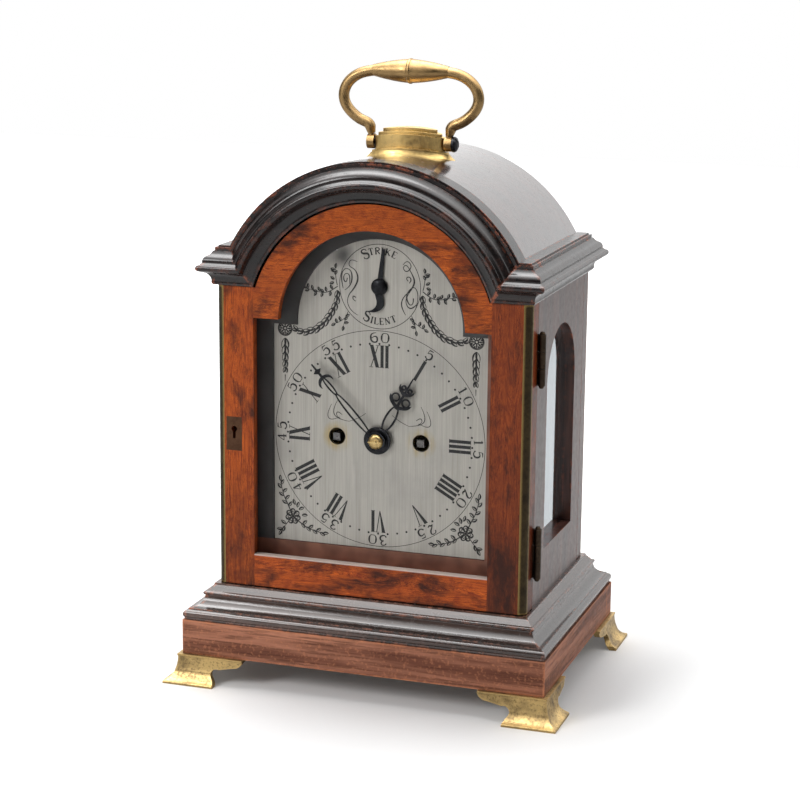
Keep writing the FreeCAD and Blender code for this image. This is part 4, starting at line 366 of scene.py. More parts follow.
mask_paint, mask_shader = blank_material("charcoal_paint")
mask_point = node(mask_paint, "TexCoord").outputs["Object"]
mask_dust = node(mask_paint, "TexNoise", {"Vector": mask_point, "Scale": 60.0, "Detail": 2.0,
                                          "Roughness": 0.5})
mask_low, mask_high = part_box("dial_plate")
mask_place = node(mask_paint, "SeparateXYZ", {0: mask_point})
mask_grey = mixed(mask_paint, scaled(mask_paint, mask_dust.outputs["Fac"], 0.35, 0.7), (0.04, 0.038, 0.037),
                  (0.062, 0.059, 0.057))
mask_brown = mixed(mask_paint, scaled(mask_paint, mask_dust.outputs["Fac"], 0.4, 0.62), (0.15, 0.056, 0.034),
                   (0.25, 0.1, 0.06))
mask_ledge = scaled(mask_paint, mask_place.outputs["Z"], mask_low.z + 0.0002, mask_low.z - 0.0004)
mask_right = scaled(mask_paint, mask_place.outputs["X"], mask_high.x - 0.0002, mask_high.x + 0.0004)
mask_paint.node_tree.links.new(
    mixed(mask_paint, calc(mask_paint, "MAXIMUM", mask_ledge, mask_right), mask_grey, mask_brown),
    mask_shader.inputs["Base Color"])
mask_paint.node_tree.links.new(scaled(mask_paint, mask_dust.outputs["Fac"], 0.3, 0.7, 0.45, 0.65),
                               mask_shader.inputs["Roughness"])
dress(mask_paint, "dial_mask")

# ---------------------------------------------------------------- feet
# Four cast brass bracket feet, each held by two screws. Their old patina is golden where the brass
# is rubbed, and bronze and pitted elsewhere.


def old_brass(name, bright, dull, dark, rough=0.3, pitting=0.5, tarnish=0.5, pit_scale=420.0,
              rubbed=None):
    """Brass with rubbed arrises, tarnish and casting pits."""
    made, shader = blank_material(name)
    point = node(made, "TexCoord").outputs["Object"]
    clouds = node(made, "TexNoise", {"Vector": point, "Scale": 75.0, "Detail": 7.0, "Roughness": 0.65})
    pits = node(made, "TexNoise", {"Vector": point, "Scale": pit_scale, "Detail": 4.0, "Roughness": 0.6})
    arris = node(made, "AmbientOcclusion", {"Distance": 0.0016}, samples=6, inside=True, only_local=True)
    close = node(made, "AmbientOcclusion", {"Distance": 0.004}, samples=6)
    body = mixed(made, scaled(made, clouds.outputs["Fac"], 0.4, 0.6), bright, dull)
    body = mixed(made, scaled(made, pits.outputs["Fac"], 0.52, 0.64, 0.0, pitting), body, dark)
    body = mixed(made, scaled(made, clouds.outputs["Fac"], 0.56, 0.7, 0.0, tarnish), body, dark)
    # Painted shade: the brass is darkened where other parts come close, in corners and recesses.
    body = mixed(made, scaled(made, close.outputs["AO"], 0.25, 0.8, 0.85, 0.0), body, dark)
    body = mixed(made, scaled(made, arris.outputs["AO"], 0.92, 0.6, 0.0, 0.6), body, rubbed or bright)
    made.node_tree.links.new(body, shader.inputs["Base Color"])
    made.node_tree.links.new(scaled(made, pits.outputs["Fac"], 0.3, 0.75, rough, rough + 0.28),
                             shader.inputs["Roughness"])
    shader.inputs["Metallic"].default_value = 1.0
    bump = node(made, "Bump", {"Strength": 0.35 * pitting, "Distance": 0.0004, "Height": pits.outputs["Fac"]})
    made.node_tree.links.new(bump.outputs[0], shader.inputs["Normal"])
    return made


dress(old_brass("cast_foot_brass", (0.54, 0.38, 0.16), (0.28, 0.195, 0.088), (0.085, 0.06, 0.034),
                0.32, 0.6, 0.7, 620.0),
      "foot_front_left", "foot_front_right", "foot_rear_left", "foot_rear_right")

# ---------------------------------------------------------------- handle
# A cast brass handle that swings on a bolt in its moulded base on top of the roof. Hands have kept
# it smooth and darkened it; the base is brighter.

dress(old_brass("handle_brass", (0.34, 0.222, 0.098), (0.27, 0.175, 0.078), (0.13, 0.08, 0.04),
                0.28, 0.08, 0.2, 200.0), "carry_handle")
dress(old_brass("base_casting_brass", (0.76, 0.54, 0.21), (0.6, 0.42, 0.17), (0.22, 0.15, 0.075),
                0.3, 0.25, 0.35), "handle_base")

# ---------------------------------------------------------------- door and case fittings
# Drawn brass strips edge the doors; they are nearly black, with bright arrises. The keyhole plate,
# hinges, lock and latch are brass gone brown-black.

dress(old_brass("corner_strip_brass", (0.05, 0.037, 0.02), (0.034, 0.025, 0.016), (0.016, 0.012, 0.01),
                0.34, 0.3, 0.4, rubbed=(0.4, 0.28, 0.1)), "front_brass_edges", "rear_brass_edges")
dress(old_brass("keyhole_brass", (0.1, 0.052, 0.03), (0.05, 0.026, 0.018), (0.02, 0.011, 0.009),
                0.42, 0.8, 0.8, 260.0), "escutcheon")
dress(old_brass("hinge_brass", (0.06, 0.042, 0.028), (0.03, 0.022, 0.017), (0.012, 0.009, 0.008),
                0.35, 0.5, 0.6),
      "case_hinges", "front_hinge_leaves", "rear_hinge_leaves", "rear_latch", "front_lock",
      "front_lock_bolt")

# ---------------------------------------------------------------- movement
# Two plates held apart by pillars, with the wheels and barrels between them, all in clean golden
# brass. The front plate is darkened to brown all over, a painted shade for the dark behind the dial.

CLEAN_BRASS = ((0.72, 0.54, 0.24), (0.6, 0.43, 0.18), (0.3, 0.2, 0.09), 0.22, 0.15, 0.3)
dress(old_brass("movement_brass", *CLEAN_BRASS),
      "hand_collet", "back_plate", "pillars", "going_barrel", "strike_barrel", "centre_wheel",
      "cannon_pinion", "minute_wheel", "hour_wheel", "contrate_wheel", "movement_cocks", "pendulum_bob",
      "bell_hammer")
# Painted shade: the front plate's brass is darkened, standing for the dark behind the dial.
dress(old_brass("front_plate_shaded_brass", (0.3, 0.21, 0.1), (0.2, 0.14, 0.07), (0.06, 0.045, 0.03),
                0.4, 0.3, 0.6), "front_plate")

# The fusees are brass cones on steel arbors, whose squared ends show in the winding holes.
SQUARE_BACK = -0.0365
SQUARE_FRONT = -0.0375
fusee_finish = old_brass("fusee_brass", *CLEAN_BRASS)
fusee_shader = fusee_finish.node_tree.nodes["Principled BSDF"]
fusee_brass = fusee_shader.inputs["Base Color"].links[0].from_socket
fusee_depth = node(fusee_finish, "SeparateXYZ", {0: node(fusee_finish, "TexCoord").outputs["Object"]})
square_steel = scaled(fusee_finish, fusee_depth.outputs["Y"], SQUARE_BACK, SQUARE_FRONT)
fusee_finish.node_tree.links.new(mixed(fusee_finish, square_steel, fusee_brass, (0.13, 0.127, 0.124)),
                                 fusee_shader.inputs["Base Color"])
dress(fusee_finish, "going_fusee", "strike_fusee")

# ---------------------------------------------------------------- bell, steel and gut
# The bell is cast in pale bell metal, and the screws, crown wheel and verge are iron. The hands and
# the handle's bolt are blued steel, and twisted gut lines run from the fusees to the barrels.

dress(old_brass("bell_metal", (0.62, 0.54, 0.4), (0.5, 0.42, 0.3), (0.25, 0.2, 0.14), 0.18, 0.15, 0.3),
      "bell")
dress(old_brass("iron_screw", (0.3, 0.29, 0.28), (0.16, 0.15, 0.15), (0.05, 0.04, 0.04), 0.35, 0.4, 0.4),
      "foot_screws", "crown_wheel", "verge_pendulum")
dress(old_brass("blued_steel", (0.034, 0.035, 0.038), (0.018, 0.018, 0.02), (0.008, 0.008, 0.009),
                0.28, 0.2, 0.3),
      "handle_bolt", "hour_hand", "minute_hand", "strike_silent_hand")

gut_finish, gut_shader = blank_material("gut_line")
gut_point = node(gut_finish, "TexCoord").outputs["Object"]
gut_twist = node(gut_finish, "TexNoise", {"Vector": gut_point, "Scale": 900.0})
gut_finish.node_tree.links.new(
    mixed(gut_finish, gut_twist.outputs["Fac"], (0.42, 0.27, 0.1), (0.2, 0.12, 0.05)),
    gut_shader.inputs["Base Color"])
gut_shader.inputs["Roughness"].default_value = 0.5
dress(gut_finish, "gut_lines")

# ---------------------------------------------------------------- glass
# Panes of thin old crown glass, puttied into rebates in the doors and the sides. They are nearly
# clear from straight ahead, and shine the flatter they are looked at.


def pane_glass(name, least, most, tint, start=0.0):
    """Thin clear glass that shines more the flatter it is looked at."""
    made, shader = blank_material(name)
    facing = node(made, "LayerWeight", {"Blend": 0.28})
    made.node_tree.links.new(scaled(made, facing.outputs["Fresnel"], start, 1.0, least, most),
                             shader.inputs["Alpha"])
    shader.inputs["Base Color"].default_value = (*tint, 1)
    shader.inputs["Metallic"].default_value = 1.0
    shader.inputs["Roughness"].default_value = 0.03
    return made


dress(pane_glass("door_pane", 0.0, 0.5, (0.9, 0.93, 0.95), 0.05), "front_glass", "rear_glass")
dress(pane_glass("side_pane", 0.1, 2.6, (0.8, 0.87, 0.92)), "side_glasses")

# ---------------------------------------------------------------- dial plate
# One brass plate, silvered and brushed upright. The silvering is rubbed to brass round the winding
# holes, and has darkened in a few clouds. From here on the dial is laid out in millimetres.

DIAL_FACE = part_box("dial_plate")[0].y * 1000
CENTRE = 158.2
SUB_CENTRE = 253.3
WINDING = 27.2
RUBBED_RING = (5.2, 10.5)
HOLE_SHADE_RIM = (5.25, 5.5)
STAIN_SPOT = (-24.0, 270.5)
STAIN_REACH = (2.0, 9.5)
silver, silver_shader = blank_material("silvered_brass")
dial_point = node(silver, "TexCoord").outputs["Object"]
brush_map = node(silver, "Mapping", {"Vector": dial_point, "Scale": (1.0, 1.0, 0.012)})
brushing = node(silver, "TexNoise", {"Vector": brush_map.outputs[0], "Scale": 1500.0, "Detail": 3.0,
                                     "Roughness": 0.7})
streak_map = node(silver, "Mapping", {"Vector": dial_point, "Scale": (1.0, 1.0, 0.06)})
streaks = node(silver, "TexNoise", {"Vector": streak_map.outputs[0], "Scale": 210.0, "Detail": 5.0,
                                    "Roughness": 0.65})
clouds = node(silver, "TexNoise", {"Vector": dial_point, "Scale": 26.0, "Detail": 5.0, "Roughness": 0.6})
silver_body = mixed(silver, scaled(silver, brushing.outputs["Fac"], 0.3, 0.7), (0.375, 0.36, 0.322),
                    (0.5, 0.48, 0.436))
silver_body = mixed(silver, scaled(silver, streaks.outputs["Fac"], 0.48, 0.68, 0.0, 0.4), silver_body,
                    (0.28, 0.262, 0.235))
silver_body = mixed(silver, scaled(silver, clouds.outputs["Fac"], 0.5, 0.66, 0.0, 0.32), silver_body,
                    (0.29, 0.28, 0.262))


def near(material, point, x, z, start, end):
    """One close to a spot on the dial, falling to nothing further out."""
    gap = node(material, "VectorMath", {0: point, 1: (x / 1000, DIAL_FACE / 1000, z / 1000)},
               operation="DISTANCE")
    return scaled(material, gap.outputs["Value"], start / 1000, end / 1000, 1.0, 0.0)


for side in (-1, 1):
    rub = calc(silver, "MULTIPLY", near(silver, dial_point, side * WINDING, CENTRE, *RUBBED_RING),
               scaled(silver, streaks.outputs["Fac"], 0.36, 0.62))
    silver_body = mixed(silver, rub, silver_body, (0.4, 0.3, 0.13))
    # Painted shade: a near-black ring round each winding hole stands for the shade down the hole's wall.
    silver_body = mixed(silver, near(silver, dial_point, side * WINDING, CENTRE, *HOLE_SHADE_RIM), silver_body,
                        (0.02, 0.018, 0.016))
tarnish = calc(silver, "MULTIPLY", near(silver, dial_point, *STAIN_SPOT, *STAIN_REACH),
               scaled(silver, clouds.outputs["Fac"], 0.3, 0.62, 0.3, 0.9))
silver_body = mixed(silver, tarnish, silver_body, (0.09, 0.09, 0.088))
silver.node_tree.links.new(silver_body, silver_shader.inputs["Base Color"])
silver_shader.inputs["Metallic"].default_value = 0.55
silver.node_tree.links.new(scaled(silver, brushing.outputs["Fac"], 0.3, 0.7, 0.4, 0.52),
                           silver_shader.inputs["Roughness"])
silver_bump = node(silver, "Bump", {"Strength": 0.08, "Distance": 0.0001, "Height": brushing.outputs["Fac"]})
silver.node_tree.links.new(silver_bump.outputs[0], silver_shader.inputs["Normal"])
dress(silver, "dial_plate")

# ---------------------------------------------------------------- hour numerals and minute dots
# Radial Roman numerals cut into the silvered plate and filled with black wax, thick strokes and
# hairlines with fine serifs, and a ring of single dots for the minutes outside them.

NUMERAL_MIDDLE = 52.1
NUMERAL_HALF = 6.8
THICK = 2.0
HAIR = 0.55
SERIF_HALF = 0.15
SERIF_LENGTH = 2.7
DOT_RING = 59.9
DOT_RADIUS = 0.68
WAX_LIFT = 0.03
wax, wax_shader = blank_material("black_wax")
wax_loss = node(wax, "TexNoise", {"Vector": node(wax, "TexCoord").outputs["Object"], "Scale": 650.0,
                                  "Detail": 4.0, "Roughness": 0.7})
wax.node_tree.links.new(
    mixed(wax, scaled(wax, wax_loss.outputs["Fac"], 0.6, 0.74, 0.0, 0.8), (0.011, 0.011, 0.012),
          (0.16, 0.155, 0.145)), wax_shader.inputs["Base Color"])
wax_shader.inputs["Roughness"].default_value = 0.5


def around(middle, reach, angle):
    """The point at a reach and a clockwise angle from a middle."""
    return middle[0] + reach * math.sin(angle), middle[1] + reach * math.cos(angle)


def spot_on_dial(x, z, turn=0.0):
    """The matrix of a place on the dial's face, turned clockwise as seen from the front."""
    return (Matrix.Translation((x / 1000, (DIAL_FACE - WAX_LIFT) / 1000, z / 1000))
            @ Matrix.Rotation(turn, 4, "Y") @ Matrix.Scale(0.001, 4))


def bar(mesh, place, low, high, low_width, high_width):
    """A flat stroke from one point to another, its ends cut level."""
    made = bmesh.ops.create_grid(mesh, x_segments=1, y_segments=1, size=0.5)["verts"]
    for corner in made:
        share = corner.co.y + 0.5
        width = low_width + (high_width - low_width) * share
        middle = low[0] + (high[0] - low[0]) * share
        corner.co = place @ Vector((middle + corner.co.x * width, 0, low[1] + (high[1] - low[1]) * share))


def finish_flat(mesh, name, finish):
    """Turns a flat mesh to the front, and lays it on the dial as a piece."""
    for face in mesh.faces:
        face.normal_update()
        if face.normal.y > 0:
            face.normal_flip()
    data = bpy.data.meshes.new(name)
    mesh.to_mesh(data)
    mesh.free()
    data.materials.append(finish)
    piece = bpy.data.objects.new(name, data)
    scene.collection.objects.link(piece)
    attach(piece, "case")


# Each letter's width, its strokes (foot, head and the widths there) and its serifs (place, end).
LETTERS = {
    "I": (3.15, ((0, 0, THICK, THICK),), ((0, 1), (0, -1))),
    "V": (6.9, ((0.5, -2.0, 0.5, 2.3), (0.5, 2.5, HAIR, HAIR)), ((-2.0, 1), (2.3, 1))),
    "X": (6.6, ((1.9, -1.9, 2.3, 2.3), (-2.3, 2.3, HAIR, HAIR)),
          ((-2.1, -1), (-2.1, 1), (2.1, -1), (2.1, 1))),
}
HOURS = ("XII", "I", "II", "III", "IIII", "V", "VI", "VII", "VIII", "IX", "X", "XI")
numerals = bmesh.new()
for hour, letters in enumerate(HOURS):
    angle = math.radians(30 * hour)
    where = spot_on_dial(*around((0, CENTRE), NUMERAL_MIDDLE, angle), angle)
    across = -sum(LETTERS[letter][0] for letter in letters) / 2
    for letter in letters:
        width, strokes, serifs = LETTERS[letter]
        middle = across + width / 2
        across += width
        for foot, head, foot_width, head_width in strokes:
            bar(numerals, where, (middle + foot, -NUMERAL_HALF), (middle + head, NUMERAL_HALF),
                foot_width, head_width)
        for x, end in serifs:
            bar(numerals, where, (middle + x, end * NUMERAL_HALF - SERIF_HALF),
                (middle + x, end * NUMERAL_HALF + SERIF_HALF), SERIF_LENGTH, SERIF_LENGTH)
finish_flat(numerals, "hour_numerals", wax)

dots = bmesh.new()
for minute in range(60):
    place = spot_on_dial(*around((0, CENTRE), DOT_RING, math.radians(6 * minute)))
    bmesh.ops.create_circle(dots, cap_ends=True, segments=14, radius=DOT_RADIUS,
                            matrix=place @ Matrix.Rotation(math.pi / 2, 4, "X"))
finish_flat(dots, "minute_dots", wax)

# A fine line closes the minute ring, and another the small ring.
rings = bmesh.new()
for radius, width, middle in ((68.0, 0.36, CENTRE), (25.9, 0.42, SUB_CENTRE)):
    first = rings.verts.new(((radius - width / 2) / 1000, (DIAL_FACE - WAX_LIFT) / 1000, middle / 1000))
    second = rings.verts.new(((radius + width / 2) / 1000, (DIAL_FACE - WAX_LIFT) / 1000, middle / 1000))
    edge = rings.edges.new((first, second))
    bmesh.ops.spin(rings, geom=[first, second, edge], cent=(0, 0, middle / 1000), axis=(0, 1, 0),
                   angle=math.tau, steps=180, use_merge=True)
finish_flat(rings, "ring_lines", wax)

# ---------------------------------------------------------------- figures and words
# Minute figures at every fifth dot, and STRIKE and SILENT on the small ring, engraved in swelling
# strokes as a graver cuts them.

FIGURE_RING = 63.9
FIGURE_PITCH = 7.2
FIGURE_SIZE = 1.2
GLYPH_MIDDLE = 2.3
STROKE_LEAST = 0.08
STROKE_GAIN = 1.2
STROKE_LIFT = 0.02
STROKE_FLATNESS = 0.08


def engraved(name, strokes):
    """Graver's strokes on the dial: each a smooth line whose width swells and tapers."""
    line = bpy.data.curves.new(name, "CURVE")
    line.dimensions = "3D"
    line.bevel_depth = 0.001
    line.bevel_resolution = 1
    line.use_fill_caps = True
    line.resolution_u = 5
    for points, widths in strokes:
        spline = line.splines.new("NURBS")
        spline.points.add(len(points) - 1)
        for point, (x, z), width in zip(spline.points, points, widths):
            point.co = (x / 1000, 0, z / 1000, 1)
            point.radius = STROKE_LEAST + STROKE_GAIN * width
        spline.order_u = min(3, len(points))
        spline.use_endpoint_u = True
    holder = bpy.data.objects.new(name, line)
    scene.collection.objects.link(holder)
    bpy.context.view_layer.update()
    data = bpy.data.meshes.new_from_object(holder.evaluated_get(bpy.context.evaluated_depsgraph_get()))
    bpy.data.objects.remove(holder)
    data.transform(Matrix.Translation((0, (DIAL_FACE - STROKE_LIFT) / 1000, 0))
                   @ Matrix.Scale(STROKE_FLATNESS, 4, (0, 1, 0)))
    data.name = name
    data.materials.clear()
    data.materials.append(wax)
    piece = bpy.data.objects.new(name, data)
    scene.collection.objects.link(piece)
    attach(piece, "case")


# Each letter and figure as strokes: the points a smooth line follows, and its width at each.
GLYPHS = {
    "0": [([(0, 4.6), (-1.1, 4.7), (-1.8, 3.5), (-1.9, 2.3), (-1.8, 1.1), (-1.1, -.1), (0, 0), (1.1, -.1),
            (1.8, 1.1), (1.9, 2.3), (1.8, 3.5), (1.1, 4.7), (0, 4.6)],
           (.1, .12, .3, .42, .3, .12, .1, .12, .3, .42, .3, .12, .1))],
    "1": [([(0, 0), (0, 4.6)], (.36, .36)), ([(-1, 0), (1, 0)], (.1, .1)),
          ([(-1, 3.9), (0, 4.6)], (.1, .2))],
    "2": [([(-1.3, 3.5), (-1.3, 5), (1.6, 5), (1.5, 3.1), (-.5, 1.5), (-1.5, .2)],
           (.3, .14, .2, .42, .2, .1)),
          ([(-1.5, .2), (-.5, .9), (.6, -.2), (1.6, .8)], (.1, .34, .34, .1))],
    "3": [([(-1.3, 4), (-.9, 5), (1.5, 4.9), (1.3, 2.8), (-.3, 2.6)], (.3, .12, .26, .32, .08)),
          ([(-.3, 2.6), (1.8, 2.7), (1.8, .1), (-1.1, -.5), (-1.4, .8)], (.08, .3, .44, .14, .32))],
    "4": [([(.6, 0), (.6, 4.7)], (.36, .36)), ([(.6, 4.7), (-1.7, 1.3)], (.1, .12)),
          ([(-1.7, 1.3), (1.6, 1.3)], (.14, .14)), ([(-.2, 0), (1.4, 0)], (.08, .08))],
    "5": [([(-.9, 4.5), (1.3, 4.7)], (.26, .12)), ([(-.9, 4.5), (-1.1, 2.5)], (.1, .1)),
          ([(-1.1, 2.5), (.4, 3.5), (1.8, 2.7), (1.8, .3), (-.6, -.5), (-1.5, .7)],
           (.1, .2, .4, .4, .12, .32))],
    "6": [([(1.3, 4.6), (-1.3, 4.6), (-1.9, 1.7), (-1, -.2), (1.6, -.3), (1.9, 2.3), (.2, 3.1), (-1.4, 1.7)],
           (.1, .2, .45, .3, .3, .4, .15, .1))],
    "S": [([(1.2, 3.7), (.8, 5), (-1.6, 4.8), (-1.4, 2.9), (1.7, 2.2), (1.4, -.2), (-1.1, -.4), (-1.4, 1.1)],
           (.1, .14, .3, .46, .46, .3, .14, .1)),
          ([(1.2, 3.5), (1.2, 4.5)], (.08, .08)), ([(-1.4, 0), (-1.4, 1.2)], (.08, .08))],
    "T": [([(0, 0), (0, 4.5)], (.42, .42)), ([(-1.5, 4.5), (1.5, 4.5)], (.12, .12)),
          ([(-1.5, 4.5), (-1.6, 3.6)], (.14, .05)), ([(1.5, 4.5), (1.6, 3.6)], (.14, .05)),
          ([(-.8, 0), (.8, 0)], (.1, .1))],
    "R": [([(-1, 0), (-1, 4.5)], (.4, .4)),
          ([(-1, 4.5), (1.6, 4.6), (1.6, 2.3), (-1, 2.4)], (.1, .34, .34, .1)),
          ([(-.1, 2.4), (1.7, 0)], (.3, .36)), ([(-1.7, 0), (-.3, 0)], (.1, .1))],
    "I": [([(0, 0), (0, 4.5)], (.42, .42)), ([(-.8, 0), (.8, 0)], (.1, .1)),
          ([(-.8, 4.5), (.8, 4.5)], (.1, .1))],
    "K": [([(-1, 0), (-1, 4.5)], (.4, .4)), ([(1.5, 4.5), (-.9, 1.9)], (.12, .12)),
          ([(-.3, 2.5), (1.7, 0)], (.34, .38)), ([(-1.7, 0), (-.3, 0)], (.1, .1)),
          ([(-1.7, 4.5), (-.3, 4.5)], (.1, .1))],
    "E": [([(-1, 0), (-1, 4.5)], (.4, .4)), ([(-1.5, 4.5), (1.3, 4.5)], (.11, .11)),
          ([(-1, 2.3), (.8, 2.3)], (.1, .1)), ([(-1.5, 0), (1.4, 0)], (.11, .11)),
          ([(1.3, 4.5), (1.4, 3.6)], (.12, .05)), ([(1.4, 0), (1.5, 1)], (.12, .05))],
    "L": [([(-1, 0), (-1, 4.5)], (.4, .4)), ([(-1.6, 0), (1.3, 0)], (.11, .11)),
          ([(1.3, 0), (1.5, 1.1)], (.12, .05)), ([(-1.7, 4.5), (-.3, 4.5)], (.1, .1))],
    "N": [([(-1.3, 0), (-1.3, 4.5)], (.12, .12)), ([(-1.4, 4.5), (1.3, 0)], (.38, .38)),
          ([(1.3, 0), (1.3, 4.5)], (.12, .12)), ([(.7, 4.5), (1.9, 4.5)], (.08, .08)),
          ([(-1.9, 0), (-.7, 0)], (.08, .08))],
}


def glyph(letter, x, z, turn, size=1.0):
    """A letter's strokes, its middle at a place on the dial, turned clockwise."""
    out = []
    for points, widths in GLYPHS[letter]:
        laid = []
        for across, up in points:
            up -= GLYPH_MIDDLE
            laid.append((x + size * (across * math.cos(turn) + up * math.sin(turn)),
                         z + size * (up * math.cos(turn) - across * math.sin(turn))))
        out.append((laid, tuple(width * size for width in widths)))
    return out


figures = []
for count in range(1, 13):
    text = str(5 * count)
    for index, digit in enumerate(text):
        angle = math.radians(30 * count) + (index - (len(text) - 1) / 2) * FIGURE_PITCH / FIGURE_RING
        figures += glyph(digit, *around((0, CENTRE), FIGURE_RING, angle), angle, FIGURE_SIZE)
engraved("minute_figures", figures)

# The letters' tops point outwards in the upper word and inwards in the lower one.
words = []
for word, places, first_reach, next_reach, side in (
        ("STRIKE", (-26, -15.5, -5, 3.5, 13, 24.5), 21.6, 21.9, 1),
        ("SILENT", (-23.5, -13.5, -5.5, 3.5, 13.5, 24.5), 20.4, 21.2, -1)):
    for index, (letter, degrees) in enumerate(zip(word, places)):
        size, reach = (0.88, next_reach) if index else (1.15, first_reach)
        angle = side * math.radians(degrees)
        words += glyph(letter, *around((0, SUB_CENTRE), side * reach, angle), angle, size)
engraved("ring_words", words)

# ---------------------------------------------------------------- dial ornament
# Swags of husks hang from two rosettes to the small ring, with drops of husks below. Sprays of
# flowers fill the lower corners, sprigs the arch, and flourishes the small ring, all engraved.

SWAG_HUSKS = 12
ROSETTE = (61.6, 223.6)
FLOWER = (56.6, 104.0)
CORNER_LEAF = 3.9
SPRIG_LEAF = 3.1


def both_sides(strokes):
    """Strokes and their mirror image."""
    return strokes + [([(-x, z) for x, z in points], widths) for points, widths in strokes]


def round_stroke(middle, radius, width, steps):
    """A closed circle of even width."""
    return ([around(middle, radius, math.tau * step / steps) for step in range(steps + 1)],
            (width,) * (steps + 1))


def outlined_leaf(x, z, degrees, length):
    """A pointed leaf in outline, shaded on its right side."""
    angle = math.radians(degrees)
    ahead = Vector((math.sin(angle), math.cos(angle)))
    across = Vector((ahead.y, -ahead.x))
    base = Vector((x, z))
    out = []
    for side, fat in ((-1, 0.3), (1, 0.85)):
        out.append(([tuple(base), tuple(base + ahead * length * 0.45 + across * side * length * 0.34),
                     tuple(base + ahead * length)], (0.08, fat, 0.06)))
    return out


def husk(x, z, degrees, size):
    """A husk of two flared leaves with a cut between them."""
    angle = math.radians(degrees)
    tip = around((x, z), 1.7 * size, angle)
    return (outlined_leaf(x, z, degrees - 17, 2.2 * size) + outlined_leaf(x, z, degrees + 17, 2.2 * size)
            + [([(x, z), tip], (0.12, 0.5))])


def along_line(points, share):
    """A place and a heading part of the way along a run of points."""
    steps = [Vector(second) - Vector(first) for first, second in zip(points, points[1:])]
    reach = share * sum(step.length for step in steps)
    for first, step in zip(points, steps):
        if reach <= step.length or step is steps[-1]:
            spot = Vector(first) + step * (reach / step.length)
            return spot.x, spot.y, math.degrees(math.atan2(step.x, step.y))
        reach -= step.length


SWAG = [(56.2, 224.4), (52, 222.5), (46, 223.0), (40.3, 225.3), (35, 230.0), (31, 235.9), (28.7, 240.9),
        (27.6, 245.3), (27.3, 249.5)]
swag = []
for step in range(SWAG_HUSKS):
    x, z, heading = along_line(SWAG, (step + 1.0) / SWAG_HUSKS)
    swag += husk(x, z, heading + 180, 2.0 + 0.7 * math.sin(math.pi * (step + 0.5) / SWAG_HUSKS))
for step, drop in enumerate((217.6, 213.0, 208.4, 203.9, 199.6)):
    swag += husk(ROSETTE[0], drop, 180, 3.1 - 0.3 * step)
swag.append(([(ROSETTE[0], 194.5), (ROSETTE[0], 190.5)], (0.2, 0.05)))
engraved("husk_swags", both_sides(swag))

rosettes = [round_stroke(ROSETTE, radius, width, 16)
            for radius, width in ((4.6, 0.26), (4.0, 0.12), (1.1, 0.3))]
for petal in range(8):
    angle = math.tau * petal / 8
    for turn in (-0.2, 0.2):
        rosettes.append(([around(ROSETTE, reach, angle + bend)
                          for reach, bend in ((1.3, 0.0), (2.6, turn), (3.7, 0.0))], (0.1, 0.26, 0.1)))
    rosettes.append(([around(ROSETTE, reach, angle + 0.39) for reach in (2.6, 3.9)], (0.14, 0.85)))
engraved("rosettes", both_sides(rosettes))

CORNER_LEAVES = ((59.4, 110.2, -35), (60.4, 112.0, 62), (61.6, 114.6, -45), (62.6, 116.8, 58),
                 (63.4, 119.0, -50), (64.2, 121.6, 40), (64.5, 123.8, -28), (64.8, 126.2, 4),
                 (51.0, 100.0, -140), (50.0, 99.4, -48), (47.6, 98.0, -135), (46.0, 97.0, -50),
                 (43.4, 96.4, -128), (41.0, 95.6, -55), (38.6, 95.2, -118), (36.6, 94.8, -84),
                 (61.2, 98.8, 60), (62.4, 97.2, 165), (63.6, 95.4, 95), (64.2, 94.4, 150),
                 (52.6, 108.6, -62), (53.8, 110.0, -20), (50.6, 105.2, -84), (55.0, 111.6, 20))
sprays = [([FLOWER, (60.4, 112.5), (63.6, 118.5), (64.8, 126.5)], (0.3, 0.26, 0.16, 0.06)),
          ([FLOWER, (49.5, 98.6), (43.5, 96.2), (35.5, 94.4)], (0.3, 0.26, 0.16, 0.06)),
          ([FLOWER, (61.5, 98.5), (64.5, 93.6)], (0.22, 0.16, 0.06))]
for petal in range(7):
    angle = math.tau * petal / 7
    for size, spread, widths in ((4.9, 0.5, (.14, .24, .3, .62, .2)), (3.5, 0.3, (.08, .1, .14, .26, .08))):
        sprays.append(([around(FLOWER, reach, angle + bend)
                        for reach, bend in ((1.7, -0.7 * spread), (0.8 * size, -spread), (size * 1.08, 0.0),
                                            (0.8 * size, spread), (1.7, 0.7 * spread))], widths))
for radius, width in ((1.5, 0.26), (0.5, 0.4)):
    sprays.append(round_stroke(FLOWER, radius, width, 10))
for x, z, heading in CORNER_LEAVES:
    sprays += outlined_leaf(x, z, heading, CORNER_LEAF)
engraved("corner_sprays", both_sides(sprays))

SPRIG_LEAVES = ((30.4, 250.0, 30), (31.8, 248.6, 170), (34.4, 248.2, 10), (37.0, 247.6, 160),
                (38.4, 248.2, 30), (41.0, 247.8, 150), (43.0, 248.8, 20), (45.6, 249.0, 110),
                (47.2, 249.6, 60), (46.4, 249.6, 0), (36.0, 248.0, 60), (40.2, 248.0, 80),
                (29.2, 256.2, 60), (29.0, 259.0, -30), (29.2, 260.6, 50), (28.6, 263.0, -10),
                (28.8, 262.2, 80), (29.6, 254.4, 110), (22.0, 233.4, -60), (23.0, 229.4, -80),
                (23.4, 227.6, 170), (25.0, 230.6, 20), (27.4, 229.2, 20), (28.6, 229.0, 120),
                (22.6, 231.2, -40))
sprigs = [([(27.2, 252.0), (33, 247.4), (40, 247.6), (47.4, 249.6)], (0.22, 0.18, 0.12, 0.06)),
          ([(27.4, 252.6), (29.0, 258.0), (28.4, 263.8)], (0.18, 0.14, 0.05)),
          ([(20.4, 236.6), (22.6, 231.0), (23.4, 227.4)], (0.14, 0.14, 0.05)),
          ([(22.0, 233.0), (26.0, 229.6), (28.6, 229.0)], (0.12, 0.12, 0.05))]
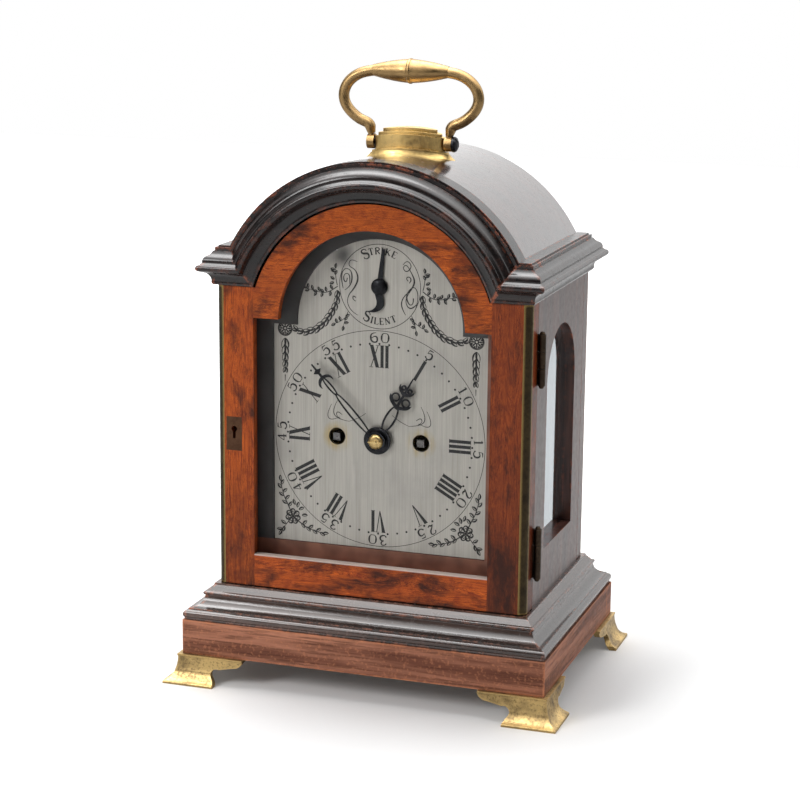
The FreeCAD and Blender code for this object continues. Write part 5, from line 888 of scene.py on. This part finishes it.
for x, z, heading in SPRIG_LEAVES:
    sprigs += outlined_leaf(x, z, heading, SPRIG_LEAF)
engraved("arch_sprigs", both_sides(sprigs))


def from_ring(points, widths):
    """A flourish placed from the middle of the small ring."""
    return [(x, SUB_CENTRE + z) for x, z in points], tuple(1.4 * width for width in widths)


flourishes = [
    from_ring([(-14.6, 14.4), (-18.8, 16.4), (-20.6, 11.6), (-15.6, 9.6), (-13.6, 4.0), (-16.6, -2.2),
               (-20.4, -6.4), (-21.0, -12.0), (-17.4, -17.0), (-13.8, -18.4)],
              (.06, .1, .12, .12, .34, .24, .12, .1, .1, .05)),
    from_ring([(-23.6, -2.4), (-25.4, 4.6), (-23.0, 10.2), (-18.6, 9.4), (-17.6, 4.0), (-19.6, -1.6),
               (-22.6, -3.4)], (.08, .24, .1, .1, .3, .14, .05)),
    from_ring([(-19.6, 0.6), (-19.0, 4.4), (-20.6, 7.4), (-23.4, 6.0), (-23.2, 2.0), (-21.2, 1.6),
               (-21.0, 4.2)], (.05, .22, .1, .1, .24, .1, .16)),
    from_ring([(-15.4, -7.6), (-17.2, -6.0), (-17.4, -9.2), (-15.4, -9.8)], (.14, .2, .12, .1)),
    from_ring([(14.6, 14.2), (17.0, 17.6), (20.6, 13.6), (17.0, 9.4), (14.2, 12.4), (16.8, 14.8),
               (20.0, 9.6), (22.6, 4.2), (19.4, -1.6), (14.8, -5.4), (13.2, -11.4), (16.6, -16.4)],
              (.06, .1, .14, .14, .12, .1, .12, .34, .2, .12, .26, .06)),
    from_ring([(23.0, -11.6), (25.0, -5.0), (22.6, 1.6), (18.6, -0.6), (16.6, -5.6), (19.0, -10.6),
               (21.6, -9.0), (21.4, -5.8)], (.05, .14, .12, .12, .3, .14, .12, .2)),
    from_ring([(24.2, -8.6), (20.6, -13.0), (16.8, -10.6), (16.6, -5.2), (20.4, -0.4)],
              (.06, .26, .12, .12, .06)),
    from_ring([(18.0, 4.4), (16.2, 6.2), (18.8, 7.4), (20.2, 5.0), (18.6, 3.2)], (.12, .12, .12, .24, .08)),
]
engraved("ring_flourishes", flourishes)

# Light scrolls spread over the winding holes.
scrolls = [([(-27.0, 181.0), (-30.6, 174.6), (-27.6, 169.0), (-19.4, 168.2)], (.05, .2, .18, .05)),
           ([(-30.8, 178.4), (-34.4, 171.8), (-31.6, 167.4), (-25.6, 170.4)], (.05, .16, .14, .05)),
           ([(-24.0, 172.0), (-27.0, 174.6), (-28.2, 171.0), (-25.2, 169.6)], (.1, .2, .12, .08)),
           ([(-19.4, 168.2), (-12.4, 170.8), (-8.6, 174.2)], (.05, .16, .05))]
engraved("centre_scrolls", both_sides(scrolls))
